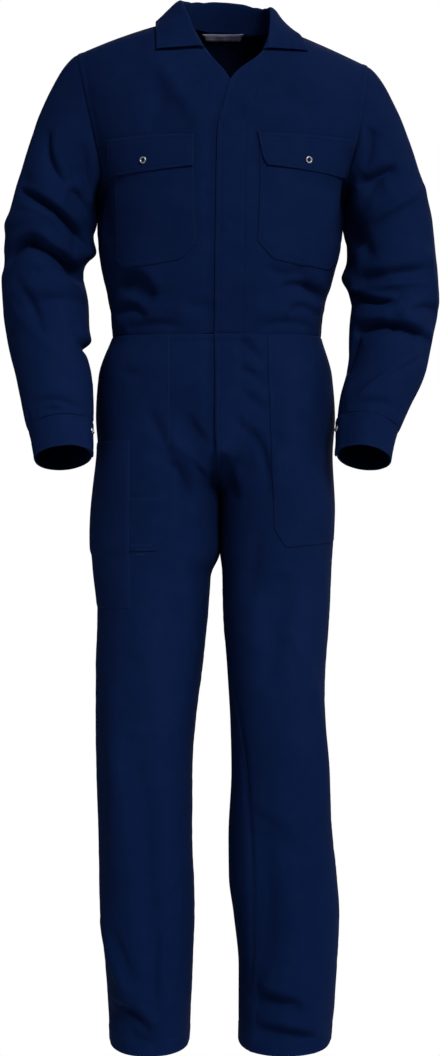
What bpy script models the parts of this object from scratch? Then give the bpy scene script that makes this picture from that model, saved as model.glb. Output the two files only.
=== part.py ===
"""Boiler suit: one-piece workwear of heavy twill, on a hollow standing figure.

Metres, +Z up, the front faces -Y.  The origin is inside the neck, at the middle
of the shoulder line, where the wearer carries the suit.  Right and left are the
wearer's, so the right side lies at -X.  "drop" is the distance below the origin.
"""
import math

import bmesh
import bpy
import numpy as np

# ---------------------------------------------------------------- sizes (metres)
CLOTH = 0.0015          # wall of the shell cloth
POCKET_CLOTH = 0.0013   # patch pockets and flaps
BAND_CLOTH = 0.0020     # collar and cuffs, two layers and interlining
SEAM = 0.00015          # half of the gap left between two pieces at a seam
LAID_ON = 0.0005        # from a panel to the inside of what is sewn on it
UNDERLAP = 0.0024       # how far the under front lies below the upper one
LAP_FLAT = 0.008        # from the upper edge, where the under front is fully below
LAP_WIDE = 0.023        # from the upper edge, where it starts to go below
LAP_FADE = (9.0, 0.8)   # row where the two fronts have parted, and over how many rows
FLY_FADE = 0.014        # below the fly's end, over which its under edge comes up

CENTRE_X = 0.010        # centre front and centre back
WAIST_DROP = 0.441
RISE_DROP = 0.500       # where the fork of the trousers starts to divide
CROTCH_DROP = 0.700
APART_DROP = 0.735       # down to here the thighs stay together
APART_OVER = 0.05
HEM_DROP = 1.515
BODY_MIDDLE = np.array([CENTRE_X, 0.0, -0.20])
SHOULDER_SLOPE = {"right": 1.6, "left": 1.3}    # how the shoulder falls to its point
FULLNESS = 0.22         # 0 is an ellipse, more is a squarer section

CUFF_SEAM_DROP = {"right": 0.580, "left": 0.578}
CUFF_END_DROP = {"right": 0.6255, "left": 0.6255}
CAP_END_DROP = 0.270    # where the sleeve head has become a plain tube
SLEEVE_SEAM = 0.0006    # from the armhole edge to the sleeve's first ring
CAP_FULLNESS = 0.5      # how far the sleeve head bulges
UNDERARM_SHARE = 0.05   # of the way round the armhole, where the sleeve leaves upwards
TOP_SHARE = 0.2         # of the trouser rows above the fork, those above the rise
FORK_REACH = 0.34       # how far from the centre the fork draws the section in
BACK_NECK_DEPTH = 0.72  # rows from the shoulder line to the back neck seam
NECK_FADE = 3.0         # rows of the back over which its lines come level again

CUFF_START = 0.09       # where the under end of a cuff lies, in turns
CUFF_TURNS = 1.12       # how far the cuff goes round
CUFF_TAB = 0.14         # share of its length that laps over its under end
CUFF_BEND = 0.05        # share of its length that climbs to the tab
CUFF_LAP = 0.0024       # how far the tab of a cuff stands over its under end
CUFF_SNAP_W = 0.045     # where its snap sits, in turns
CUFF_OFF = 0.00045      # from the sleeve's end to the cuff

SNAP_RADIUS = 0.0056
SNAP_HEIGHT = 0.0016
SNAP_LIFT = 0.0006      # below a snap on the flat
CUFF_SNAP_LIFT = 0.0009  # below a snap on the round of a cuff

NAVY = (0.0025, 0.0055, 0.045, 1.0)
GREY = (0.12, 0.10, 0.13, 1.0)
STEEL = (0.55, 0.55, 0.57, 1.0)


def read_table(names, rows):
    """A table with named columns; the first column grows from row to row."""
    return {name: np.array([row[i] for row in rows]) for i, name in enumerate(names)}


# ------------------------------------------------- upper body, front over to back
# row 0 is the waist in front, 5 the underarm, 10 the shoulder line, 15 the
# underarm and 20 the waist behind.  turn: angle of the section up to its edge.
BODY = read_table(
    ("row", "centre_drop", "right_drop", "left_drop", "centre_y", "edge_y",
     "right_x", "left_x", "turn"),
    [
        (0.0, 0.441, 0.441, 0.441, -0.113, 0.000, -0.163, 0.153, 90),
        (1.0, 0.400, 0.400, 0.400, -0.119, 0.000, -0.166, 0.157, 90),
        (2.0, 0.355, 0.355, 0.355, -0.127, 0.000, -0.1755, 0.1695, 90),
        (3.0, 0.310, 0.310, 0.310, -0.133, 0.002, -0.184, 0.182, 90),
        (4.0, 0.270, 0.270, 0.270, -0.137, 0.004, -0.187, 0.188, 90),
        (5.0, 0.235, 0.235, 0.235, -0.139, 0.005, -0.187, 0.191, 90),
        (6.0, 0.185, 0.195, 0.197, -0.140, -0.048, -0.178, 0.194, 72),
        (7.0, 0.125, 0.137, 0.142, -0.136, -0.062, -0.190, 0.208, 66),
        (8.0, 0.064, 0.080, 0.090, -0.119, -0.054, -0.203, 0.218, 62),
        (9.0, 0.010, 0.034, 0.048, -0.086, -0.034, -0.213, 0.2235, 60),
        (9.5, -0.035, 0.015, 0.032, -0.048, -0.017, -0.217, 0.225, 60),
        (10.0, -0.055, 0.008, 0.026, 0.003, 0.003, -0.218, 0.2255, 60),
        (10.5, -0.047, 0.014, 0.031, 0.050, 0.022, -0.217, 0.225, 60),
        (11.0, -0.018, 0.032, 0.046, 0.084, 0.040, -0.214, 0.222, 60),
        (12.0, 0.050, 0.078, 0.088, 0.112, 0.062, -0.206, 0.214, 62),
        (13.0, 0.120, 0.137, 0.142, 0.124, 0.070, -0.198, 0.205, 66),
        (14.0, 0.185, 0.195, 0.197, 0.122, 0.055, -0.190, 0.194, 72),
        (15.0, 0.235, 0.235, 0.235, 0.118, 0.005, -0.187, 0.191, 90),
        (16.0, 0.270, 0.270, 0.270, 0.113, 0.004, -0.187, 0.188, 90),
        (17.0, 0.310, 0.310, 0.310, 0.107, 0.002, -0.184, 0.182, 90),
        (18.0, 0.355, 0.355, 0.355, 0.104, 0.000, -0.1755, 0.1695, 90),
        (19.0, 0.400, 0.400, 0.400, 0.103, 0.000, -0.166, 0.157, 90),
        (20.0, 0.441, 0.441, 0.441, 0.104, 0.000, -0.163, 0.153, 90),
    ])

# Front edges and front necklines, from the waist (row 0) to the shoulder (row 10).
FRONT_EDGE = read_table(
    ("row", "right_x", "left_x"),
    [
        (0.0, 0.020, -0.0086),
        (4.0, 0.021, -0.0065),
        (6.0, 0.024, -0.0052),
        (6.8, 0.028, -0.0037),
        (7.4, 0.030, 0.0059),
        (8.0, 0.0165, 0.0156),
        (8.4, 0.0010, 0.0312),
        (9.0, -0.0225, 0.0629),
        (9.5, -0.0440, 0.0760),
        (10.0, -0.0600, 0.0840),
    ])

# ------------------------------------------------------------- trousers, two legs
LEG_NAMES = ("drop", "inner_x", "outer_x", "front_y", "back_y", "side_y")
LEGS = {
    "right": read_table(LEG_NAMES, [
        (0.441, -0.0040, -0.1630, -0.1130, 0.1040, 0.000),
        (0.500, -0.0040, -0.1840, -0.1240, 0.1200, 0.000),
        (0.560, -0.0040, -0.1880, -0.1310, 0.1330, 0.001),
        (0.620, -0.0040, -0.1840, -0.1320, 0.1370, 0.002),
        (0.700, -0.0040, -0.1855, -0.1220, 0.1270, 0.003),
        (0.800, -0.0140, -0.1880, -0.1100, 0.1160, 0.003),
        (0.860, -0.0185, -0.1865, -0.1050, 0.1120, 0.003),
        (0.950, -0.0280, -0.1890, -0.1000, 0.1060, 0.003),
        (1.030, -0.0380, -0.1890, -0.0980, 0.1010, 0.002),
        (1.100, -0.0425, -0.1878, -0.0950, 0.0980, 0.001),
        (1.200, -0.0425, -0.1847, -0.0910, 0.0950, 0.001),
        (1.300, -0.0390, -0.1830, -0.0880, 0.0930, 0.002),
        (1.400, -0.0420, -0.1738, -0.0860, 0.0920, 0.003),
        (1.470, -0.0452, -0.1692, -0.0860, 0.0920, 0.003),
        (1.515, -0.0472, -0.1675, -0.0860, 0.0920, 0.003),
    ]),
    "left": read_table(LEG_NAMES, [
        (0.441, 0.0040, 0.1530, -0.1130, 0.1040, 0.000),
        (0.500, 0.0040, 0.1695, -0.1240, 0.1200, 0.000),
        (0.560, 0.0040, 0.1740, -0.1310, 0.1330, 0.001),
        (0.620, 0.0040, 0.1705, -0.1320, 0.1370, 0.002),
        (0.700, 0.0040, 0.1740, -0.1220, 0.1270, 0.003),
        (0.800, 0.0040, 0.1690, -0.1100, 0.1160, 0.003),
        (0.860, 0.0050, 0.1664, -0.1050, 0.1120, 0.003),
        (0.950, 0.0110, 0.1600, -0.1000, 0.1060, 0.003),
        (1.030, 0.0155, 0.1575, -0.0980, 0.1010, 0.002),
        (1.100, 0.0170, 0.1640, -0.0950, 0.0980, 0.001),
        (1.200, 0.0125, 0.1710, -0.0920, 0.0950, 0.001),
        (1.260, 0.0130, 0.1775, -0.0900, 0.0940, 0.002),
        (1.320, 0.0205, 0.1815, -0.0890, 0.0930, 0.002),
        (1.400, 0.0280, 0.1775, -0.0880, 0.0920, 0.003),
        (1.470, 0.0278, 0.1730, -0.0880, 0.0920, 0.003),
        (1.515, 0.0275, 0.1685, -0.0880, 0.0920, 0.003),
    ]),
}

# Trouser front edges, past the centre line: the left laps over the right.
FLY_EDGE = read_table(
    ("drop", "right_past", "left_past"),
    [
        (0.441, 0.0090, 0.0186),
        (0.560, 0.0100, 0.0160),
        (0.620, 0.0090, 0.0090),
        (0.650, 0.0040, 0.0040),
        (0.664, 0.0000, 0.0000),
        (0.700, 0.0000, 0.0000),
    ])
FLY_END_DROP = 0.664
SPREAD_FROM = 1.24       # v of the legs, from where the columns come to even places
SPREAD_OVER = 0.40
FLY_SPREAD = 0.12        # v of the legs, over which the fly's columns do
LEG_PARTING = 0.0003     # between the two legs at the fork, each way

# -------------------------------------------------------------------- the sleeves
ARM_NAMES = ("drop", "x", "y", "half_width", "half_depth")
ARMS = {
    "right": read_table(ARM_NAMES, [
        (0.270, -0.2590, 0.004, 0.0665, 0.078),
        (0.345, -0.2710, 0.002, 0.0620, 0.075),
        (0.394, -0.2645, -0.010, 0.0645, 0.072),
        (0.443, -0.2600, -0.028, 0.0605, 0.067),
        (0.504, -0.2490, -0.053, 0.0570, 0.061),
        (0.550, -0.2425, -0.071, 0.0535, 0.0565),
        (0.572, -0.2395, -0.080, 0.0505, 0.0535),
        (0.580, -0.2385, -0.083, 0.0478, 0.0508),
        (0.6255, -0.2335, -0.1015, 0.0435, 0.0470),
    ]),
    "left": read_table(ARM_NAMES, [
        (0.270, 0.2575, 0.004, 0.0670, 0.078),
        (0.345, 0.2630, 0.002, 0.0680, 0.076),
        (0.382, 0.2665, -0.006, 0.0665, 0.073),
        (0.430, 0.2600, -0.022, 0.0635, 0.069),
        (0.479, 0.2540, -0.043, 0.0585, 0.063),
        (0.528, 0.2365, -0.062, 0.0525, 0.057),
        (0.550, 0.2285, -0.071, 0.0505, 0.0545),
        (0.570, 0.2230, -0.080, 0.0480, 0.0525),
        (0.578, 0.2210, -0.083, 0.0460, 0.0498),
        (0.6255, 0.2140, -0.1025, 0.0415, 0.0465),
    ]),
}
# -------------------------------------------------------------------- the collar
# A row for each section, from the right front end round the back to the left: the
# neck seam, the roll and the outer edge, each a place on the body and its height.
COLLAR = read_table(
    ("along", "seam_row", "seam_x", "seam_lift", "roll_row", "roll_x", "roll_lift",
     "edge_row", "edge_x", "edge_lift"),
    [
        (0.00, 9.02, -0.0235, 0.0034, 9.04, -0.0320, 0.0060, 9.16, -0.0960, 0.0036),
        (0.10, 9.45, -0.0430, 0.0032, 9.44, -0.0450, 0.0120, 9.62, -0.0985, 0.0036),
        (0.22, 10.0, -0.0600, 0.0012, 9.98, -0.0545, 0.0290, 10.00, -0.0990, 0.0036),
        (0.35, 10.53, -0.0420, 0.0010, 10.32, -0.0380, 0.0350, 10.98, -0.0720, 0.0036),
        (0.50, 10.72, 0.0110, 0.0010, 10.46, 0.0100, 0.0360, 11.06, 0.0100, 0.0036),
        (0.65, 10.53, 0.0660, 0.0010, 10.32, 0.0560, 0.0320, 10.98, 0.0860, 0.0036),
        (0.78, 10.0, 0.0840, 0.0012, 9.98, 0.0690, 0.0260, 10.00, 0.1010, 0.0036),
        (0.90, 9.45, 0.0750, 0.0032, 9.44, 0.0730, 0.0120, 9.62, 0.1180, 0.0036),
        (1.00, 9.02, 0.0640, 0.0034, 9.04, 0.0720, 0.0060, 9.14, 0.1300, 0.0036),
    ])
ROLL_SHARE = 0.36        # where the roll comes in the collar's width
ROLL_SPREAD = 0.026      # how wide the roll turns

# ------------------------------------------------------------------- the pockets
# Chest pocket and flap, a row for each corner line, from the bottom to the flap's
# top: the body row it follows, the pocket's inner and outer edge, the flap's end.
CHEST_NAMES = ("row", "inner_x", "inner_drop", "outer_x", "outer_drop", "flap_x", "flap_drop")
CHEST_POCKET = {
    "right": read_table(CHEST_NAMES, [
        (2.37, -0.0570, 0.337, -0.1430, 0.340, -0.1600, 0.340),
        (2.85, -0.0355, 0.310, -0.1540, 0.324, -0.1640, 0.320),
        (5.78, -0.0385, 0.197, -0.1580, 0.203, -0.1650, 0.2035),
        (6.80, -0.0380, 0.151, -0.1610, 0.149, -0.1680, 0.1490),
    ]),
    "left": read_table(CHEST_NAMES, [
        (2.37, 0.0760, 0.335, 0.1640, 0.341, 0.1690, 0.341),
        (2.85, 0.0560, 0.310, 0.1740, 0.324, 0.1790, 0.322),
        (5.78, 0.0640, 0.197, 0.1860, 0.204, 0.1905, 0.2045),
        (6.80, 0.0560, 0.146, 0.1880, 0.1475, 0.1960, 0.1480),
    ]),
}
CHEST_ROWS = (2.37, 5.78, 6.80)   # pocket bottom, flap bottom, flap top
# Inner edge of a hip pocket: the drop of the row it follows, its x and its own drop.
HIP_POCKET = {
    "right": read_table(("drop", "inner_x", "inner_drop"), [
        (0.441, -0.0740, 0.441),
        (0.700, -0.0740, 0.728),
        (0.758, -0.0900, 0.764),
    ]),
    "left": read_table(("drop", "inner_x", "inner_drop"), [
        (0.441, 0.0700, 0.441),
        (0.700, 0.0810, 0.735),
        (0.758, 0.1020, 0.763),
    ]),
}
HIP_BOTTOM = 0.758
RULE_TOP = 0.600         # the narrow rule pocket on the right hip pocket
RULE_BOTTOM = 0.850
RULE_X = -0.134
RULE_PUFF = 0.009        # how far the rule pocket stands out
PUFF_FROM_TO = (0.15, 0.65)   # its part of a half wave, from the inner edge to the side
SIDE_U = 0.97            # how far out towards the side seam a pocket reaches
CHEST_SNAPS = {"right": (-0.1140, 0.1850), "left": (0.1315, 0.1850)}
LABEL_HALF_WIDTH = 0.033
LABEL_X = 0.0045
LABEL_CLOTH = 0.0010
LABEL_OFF = 0.0008       # from the back to the label
LABEL_FROM = 0.5         # rows of the back from its top to the label, and under it
LABEL_ROWS = 0.9
EDGE_U = 0.0012          # from a seam to the edge of the piece, of u
COLUMN_STEP = 0.012      # of u, the least between two columns of a panel

# ---------------------------------------------------------------- folds in the cloth
# Soft grooves (height below 0) and ridges, each along a line.  On the body and the
# legs "across" is x; on a sleeve it is the turn from the inside over the front.
FOLD_NAMES = ("number", "from_across", "from_drop", "to_across", "to_drop", "width", "height")
FRONT_FOLDS = read_table(FOLD_NAMES, [
    (1, -0.150, 0.360, -0.110, 0.385, 0.013, -0.007),
    (2, -0.150, 0.415, -0.060, 0.405, 0.016, 0.004),
    (3, 0.118, 0.350, 0.142, 0.376, 0.013, -0.006),
    (4, 0.060, 0.408, 0.135, 0.400, 0.016, 0.004),
    (5, -0.092, 0.030, -0.034, 0.112, 0.016, 0.003),
    (6, 0.130, 0.022, 0.040, 0.100, 0.016, 0.003),
    (7, -0.078, 0.602, -0.020, 0.640, 0.020, 0.005),
    (8, -0.078, 0.632, -0.040, 0.672, 0.018, -0.004),
    (9, -0.042, 0.672, -0.038, 0.725, 0.020, -0.004),
    (10, 0.025, 0.560, 0.070, 0.500, 0.014, -0.004),
    (11, 0.040, 0.640, 0.085, 0.600, 0.015, -0.005),
    (12, -0.160, 1.465, -0.100, 1.495, 0.014, -0.006),
    (13, -0.170, 1.330, -0.140, 1.420, 0.018, 0.005),
    (14, 0.055, 1.443, 0.118, 1.455, 0.012, -0.007),
    (15, 0.055, 1.486, 0.148, 1.500, 0.011, -0.006),
    (16, 0.070, 1.190, 0.120, 1.215, 0.018, -0.004),
])
BACK_FOLDS = read_table(FOLD_NAMES, [
    (1, -0.140, 0.380, -0.050, 0.400, 0.015, -0.006),
    (2, 0.040, 0.395, 0.130, 0.372, 0.015, -0.006),
    (3, -0.100, 0.722, -0.040, 0.690, 0.026, -0.004),
    (4, 0.045, 0.695, 0.110, 0.725, 0.026, -0.004),
    (5, -0.150, 1.020, -0.070, 1.045, 0.018, -0.006),
    (6, 0.050, 1.040, 0.130, 1.015, 0.018, -0.006),
    (7, -0.150, 1.455, -0.080, 1.475, 0.014, -0.006),
    (8, 0.060, 1.465, 0.135, 1.450, 0.014, -0.006),
    (9, -0.120, 0.140, -0.090, 0.260, 0.020, 0.004),
    (10, 0.115, 0.150, 0.085, 0.265, 0.020, 0.004),
])
SLEEVE_FOLDS = {
    "right": read_table(FOLD_NAMES, [
        (1, 0.40, 0.205, 0.11, 0.288, 0.013, -0.007),
        (2, 0.48, 0.327, 0.30, 0.298, 0.012, -0.008),
        (3, 0.30, 0.298, 0.08, 0.342, 0.012, -0.008),
        (4, 0.36, 0.140, 0.20, 0.200, 0.016, -0.004),
        (5, 0.46, 0.268, 0.24, 0.262, 0.014, 0.005),
        (6, 0.40, 0.375, 0.16, 0.360, 0.015, 0.005),
        (7, 0.44, 0.440, 0.22, 0.405, 0.014, -0.004),
        (8, 0.94, 0.335, 0.78, 0.350, 0.013, -0.006),
        (9, 0.60, 0.250, 0.86, 0.300, 0.014, -0.005),
        (10, 0.62, 0.430, 0.84, 0.400, 0.015, -0.005),
    ]),
    "left": read_table(FOLD_NAMES, [
        (1, 0.16, 0.205, 0.28, 0.190, 0.012, -0.006),
        (2, 0.10, 0.270, 0.15, 0.315, 0.014, -0.008),
        (3, 0.10, 0.368, 0.25, 0.380, 0.011, -0.006),
        (4, 0.09, 0.429, 0.26, 0.420, 0.012, -0.008),
        (5, 0.26, 0.420, 0.38, 0.440, 0.012, -0.008),
        (6, 0.42, 0.215, 0.20, 0.250, 0.015, 0.005),
        (7, 0.14, 0.520, 0.42, 0.466, 0.013, -0.004),
        (8, 0.40, 0.320, 0.22, 0.345, 0.015, 0.005),
        (9, 0.92, 0.380, 0.76, 0.400, 0.013, -0.006),
        (10, 0.60, 0.260, 0.86, 0.300, 0.014, -0.005),
        (11, 0.62, 0.450, 0.84, 0.430, 0.015, -0.005),
    ]),
}
SLEEVE_GIRTH = 0.43      # turns the place round a sleeve into metres
FOLD_FADE = 0.12         # of u, over which folds fade out towards a seam

# ----------------------------------------------------------- how finely it is drawn
# Rows of the upper body; some run through the corners of the chest pockets.
BODY_ROWS = (0.0, 0.55, 1.15, 1.75, 2.37, 2.85, 3.5, 4.25, 5.0, 5.4, 5.78, 6.27, 6.8,
             7.4, 8.0, 8.4, 9.0, 9.25, 9.5, 9.75, 10.0)
UNDERARM_ROW = 5
SHOULDER_ROW = 10
GUIDE_FADE = 1.5         # rows beyond a pocket over which the rows come level again
BACK_COLUMNS = 16
POCKET_COLUMNS = 6
RULE_COLUMNS = 4
SEAT_ROWS = 11           # waist seam to fork
LEG_ROWS = 14            # fork to hem
LEG_COLUMNS = 9
CAP_ROWS = 7
ARM_ROWS = 14
CUFF_COLUMNS = 26
COLLAR_COLUMNS = 28
COLLAR_ROWS = 8
LABEL_COLUMNS = 7
SNAP_STEPS = 16
ROW_LENGTH = 0.04        # metres to a row at the waist
TOP_ROW_LENGTH = 0.10    # and at the shoulder
SEAT_LENGTH = 0.15       # metres to the unit of the trouser rows, and of the sleeve's
ARM_LENGTH = 0.3
SEWN_FADE = (0.3, 0.12)  # of a sleeve, over which its folds fade at its two ends
SNAP_PROFILE = ((0.0, 0.0), (1.0, 0.0), (1.0, 0.45), (0.86, 1.0), (0.62, 1.0), (0.46, 0.45),
                (0.0, 0.45))
SIGN = {"right": -1.0, "left": 1.0}
OTHER = {"right": "left", "left": "right"}


# --------------------------------------------------------------- reading the tables
def along(table, column, place):
    """Value of a column at a place along the first column, on a smooth curve."""
    steps = table[next(iter(table))]
    values = table[column]
    place = np.clip(place, steps[0], steps[-1])
    slopes = even_slopes(steps, values)
    i = np.clip(np.searchsorted(steps, place, side="right") - 1, 0, len(steps) - 2)
    width = steps[i + 1] - steps[i]
    t = (place - steps[i]) / width
    rest = 1 - t
    return (values[i] * (1 + 2 * t) * rest ** 2 + values[i + 1] * t ** 2 * (3 - 2 * t)
            + width * slopes[i] * t * rest ** 2 - width * slopes[i + 1] * t ** 2 * rest)


def even_slopes(steps, values):
    """Slopes at the rows that never carry the curve past a row's own value."""
    rise = np.diff(values) / np.diff(steps)
    before = np.concatenate([rise[:1], rise])
    after = np.concatenate([rise, rise[-1:]])
    same_way = before * after > 0
    total = np.where(same_way, before + after, 1.0)
    return np.where(same_way, 2 * before * after / total, 0.0)


def straight(table, column, place):
    """Value of a column at a place along the first column, on straight lines."""
    return np.interp(place, table[next(iter(table))], table[column])


def full(share):
    """Makes a rounded section squarer, and leaves its ends where they are."""
    return share + FULLNESS * share * (1 - share)


def ease(share):
    """0 to 1 with a level start and end."""
    share = np.clip(share, 0, 1)
    return share * share * (3 - 2 * share)


def pack(x, y, z):
    return np.stack(np.broadcast_arrays(x, y, z), axis=-1)


def unit(vectors):
    return vectors / np.maximum(np.linalg.norm(vectors, axis=-1, keepdims=True), 1e-12)


def fold_height(folds, across, drop, scale=1.0, loops=False):
    """Sum of the soft grooves and ridges at a place on the cloth."""
    total = np.zeros(np.broadcast(across, drop).shape)
    for i in range(len(folds["number"])):
        ax, ad = folds["from_across"][i] * scale, folds["from_drop"][i]
        bx, bd = folds["to_across"][i] * scale, folds["to_drop"][i]
        length = (bx - ax) ** 2 + (bd - ad) ** 2
        away = np.full(total.shape, np.inf)
        for turn in ((-1, 0, 1) if loops else (0,)):
            x = across * scale + turn * scale
            t = np.clip(((x - ax) * (bx - ax) + (drop - ad) * (bd - ad)) / length, 0, 1)
            gap = np.hypot(x - ax - t * (bx - ax), drop - ad - t * (bd - ad))
            away = np.minimum(away, gap)
        total += folds["height"][i] * np.exp(-(away / folds["width"][i]) ** 2)
    return total


def raised(surface, a, b, lift, outward=1.0, low_b=-1.0, high_b=1.0, step=1e-3):
    """Points of a surface, moved out along its own normals by lift."""
    across = surface(a, np.minimum(b + step, high_b)) - surface(a, np.maximum(b - step, low_b))
    ahead = surface(a + step, b) - surface(a - step, b)
    normal = unit(np.cross(across, ahead)) * outward
    return surface(a, b) + normal * np.asarray(lift)[..., None]


# ------------------------------------------------------------------ the upper body
def body_plain(row, u):
    """The body without folds: u is -1 at the right edge, 0 centre, 1 left."""
    left = u > 0
    edge_x = np.where(left, along(BODY, "left_x", row), along(BODY, "right_x", row))
    edge_z = -np.where(left, along(BODY, "left_drop", row), along(BODY, "right_drop", row))
    centre_z = -along(BODY, "centre_drop", row)
    whole = np.radians(np.minimum(along(BODY, "turn", row), 90))
    angle = np.abs(u) * whole
    across = np.sin(angle) / np.sin(whole)
    deep = full((np.cos(angle) - np.cos(whole)) / (1 - np.cos(whole)))
    edge_y = along(BODY, "edge_y", row)
    slope = np.where(left, SHOULDER_SLOPE["left"], SHOULDER_SLOPE["right"])
    return pack(CENTRE_X + (edge_x - CENTRE_X) * across,
                edge_y + (along(BODY, "centre_y", row) - edge_y) * deep,
                centre_z + (edge_z - centre_z) * across ** slope)


def body(row, u):
    """The body with its folds."""
    plain = body_plain(row, u)
    front = fold_height(FRONT_FOLDS, plain[..., 0], -plain[..., 2])
    back = fold_height(BACK_FOLDS, plain[..., 0], -plain[..., 2])
    faded = np.where(row < SHOULDER_ROW, front, back) * ease((1 - np.abs(u)) / FOLD_FADE)
    return raised(body_plain, row, u, faded)


def body_u(row, x):
    """u of a body row where it has the given x."""
    left = x > CENTRE_X
    edge_x = np.where(left, along(BODY, "left_x", row), along(BODY, "right_x", row))
    whole = np.radians(np.minimum(along(BODY, "turn", row), 90))
    share = np.clip((x - CENTRE_X) / (edge_x - CENTRE_X), 0, 1)
    u = np.arcsin(share * np.sin(whole)) / whole
    return np.where(left, u, -u)


def body_place(x, drop):
    """(row, u) of the front of the body at the given x and drop."""
    low, high = 0.0, 9.9
    for _ in range(40):
        row = (low + high) / 2
        found = -body_plain(np.array(row), body_u(row, x))[2]
        low, high = (row, high) if found > drop else (low, row)
    return row, float(np.clip(body_u(row, x), -SIDE_U, SIDE_U))


# --------------------------------------------------------------------- the trousers
def seat_level(v):
    """Drop, and how far the legs have parted: v is 0 waist, 1 fork, 2 hem."""
    angle = np.clip((v - TOP_SHARE) / (1 - TOP_SHARE), 0, 1) * math.pi / 2
    seat = RISE_DROP + (CROTCH_DROP - RISE_DROP) * np.sin(angle) ** (2 / 3)
    top = WAIST_DROP + (RISE_DROP - WAIST_DROP) * v / TOP_SHARE
    leg = CROTCH_DROP + (HEM_DROP - CROTCH_DROP) * (v - 1)
    drop = np.where(v < TOP_SHARE, top, np.where(v < 1, seat, leg))
    return drop, np.where(v < 1, 1 - np.cos(angle), 1.0)


def centre_line(drop):
    return CENTRE_X * (1 - ease((drop - RISE_DROP) / (CROTCH_DROP - RISE_DROP)))


def trousers_plain(face, side):
    """Surface of one side, front or back: |u| is 0 at the centre or inseam, 1 outside."""
    leg = LEGS[side]
    other = LEGS["left" if side == "right" else "right"]

    def surface(v, u):
        drop, parted = seat_level(v)
        over = u * (1 if side == "left" else -1) < 0
        outer = np.where(over, along(other, "outer_x", drop), along(leg, "outer_x", drop))
        inner = np.where(over, along(other, "inner_x", drop), along(leg, "inner_x", drop))
        sign = 1.0 if side == "left" else -1.0
        inner = inner * ease((drop - APART_DROP) / APART_OVER) + sign * LEG_PARTING * parted
        deep = along(leg, "front_y" if face == "front" else "back_y", drop)
        level = along(leg, "side_y", drop)
        quarter = np.abs(u) * math.pi / 2
        half = np.abs(u) * math.pi
        middle = centre_line(drop)
        seat = pack(middle + (outer - middle) * np.sin(quarter),
                    level + (deep - level) * full(np.cos(quarter)), -drop)
        tube = pack((inner + outer) / 2 - (outer - inner) / 2 * np.cos(half),
                    level + (deep - level) * full(np.sin(half)), -drop)
        gradual = ease((drop - RISE_DROP) / (CROTCH_DROP - RISE_DROP))
        near_centre = ease(1 - np.abs(u) / FORK_REACH)
        mix = (gradual + (parted - gradual) * near_centre)[..., None]
        return seat * (1 - mix) + tube * mix

    return surface


def trousers(face, side):
    """One side with its folds, fading out towards its seams."""
    plain = trousers_plain(face, side)
    folds = FRONT_FOLDS if face == "front" else BACK_FOLDS
    outward = -1.0 if face == "front" else 1.0

    def surface(v, u):
        at = plain(v, u)
        legs = ease(4 * v - 3)
        near_inseam = 1 - legs + legs * ease(np.abs(u) / FOLD_FADE)
        fade = ease((1 - np.abs(u)) / FOLD_FADE) * near_inseam
        height = fold_height(folds, at[..., 0], -at[..., 2]) * fade
        low, high = (-1.0, 0.0) if side == "right" else (0.0, 1.0)
        return raised(plain, v, u, height, outward,
                      np.minimum(low, u), np.maximum(high, u))

    return surface


def trouser_u(plain, v, x, side):
    """u of a trouser row where it has the given x."""
    sign = 1.0 if side == "left" else -1.0
    low = np.full(np.shape(x), -0.4)
    high = np.full(np.shape(x), 1.0)
    for _ in range(40):
        middle = (low + high) / 2
        inside = plain(v, middle * sign)[..., 0] * sign < np.asarray(x) * sign
        low = np.where(inside, middle, low)
        high = np.where(inside, high, middle)
    return middle * sign


def trouser_v(drop):
    low, high = 0.0, 2.0
    for _ in range(40):
        v = (low + high) / 2
        low, high = (v, high) if seat_level(np.array(v))[0] < drop else (low, v)
    return v


# ---------------------------------------------------------------------- the sleeves
def tube(table, side, drop, w, proud=0.0):
    """Ring round an arm: w is 0 inside, 0.25 front, 0.5 outside, 0.75 back."""
    sign = 1.0 if side == "left" else -1.0
    step = 1e-4
    low, high = table["drop"][0], table["drop"][-1]
    centre = pack(along(table, "x", drop), along(table, "y", drop), -np.asarray(drop))
    here = np.clip(drop, low + step, high - step)
    ahead = pack(along(table, "x", here + step) - along(table, "x", here - step),
                 along(table, "y", here + step) - along(table, "y", here - step), -2 * step)
    ahead = unit(ahead)
    inward = np.array([-sign, 0.0, 0.0])
    inward = unit(inward - ahead * (ahead @ inward)[..., None])
    forward = np.cross(ahead, inward) * -sign
    turn = 2 * math.pi * np.asarray(w)
    wide = (along(table, "half_width", drop) + proud) * np.cos(turn)
    deep = (along(table, "half_depth", drop) + proud) * np.sin(turn)
    return centre + inward * wide[..., None] + forward * deep[..., None], ahead


def armhole(side, w):
    """Edge of the armhole, the way across its seam to the sleeve, and the way out."""
    edge = 1.0 if side == "left" else -1.0
    row = UNDERARM_ROW + SHOULDER_ROW * np.clip(w, 0.0, 1.0)
    step = 1e-3
    at = body(row, np.full(row.shape, edge))
    tangent = unit(body(row + step, np.full(row.shape, edge))
                   - body(row - step, np.full(row.shape, edge)))
    inner = body(row, np.full(row.shape, edge * (1 - step)))
    normal = unit(np.cross(tangent, at - inner))
    across = unit(np.cross(normal, tangent))
    across = across * np.sign(np.sum(across * (at - inner), axis=-1))[..., None]
    top = np.array([0.0, 0.0, 1.0])
    near_underarm = np.clip(1 - np.minimum(w, 1 - w) / UNDERARM_SHARE, 0, 1)[..., None]
    out = normal * np.sign(np.sum(normal * (at - BODY_MIDDLE), axis=-1))[..., None]
    return at, unit(across * (1 - near_underarm) + top * near_underarm), out


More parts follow.
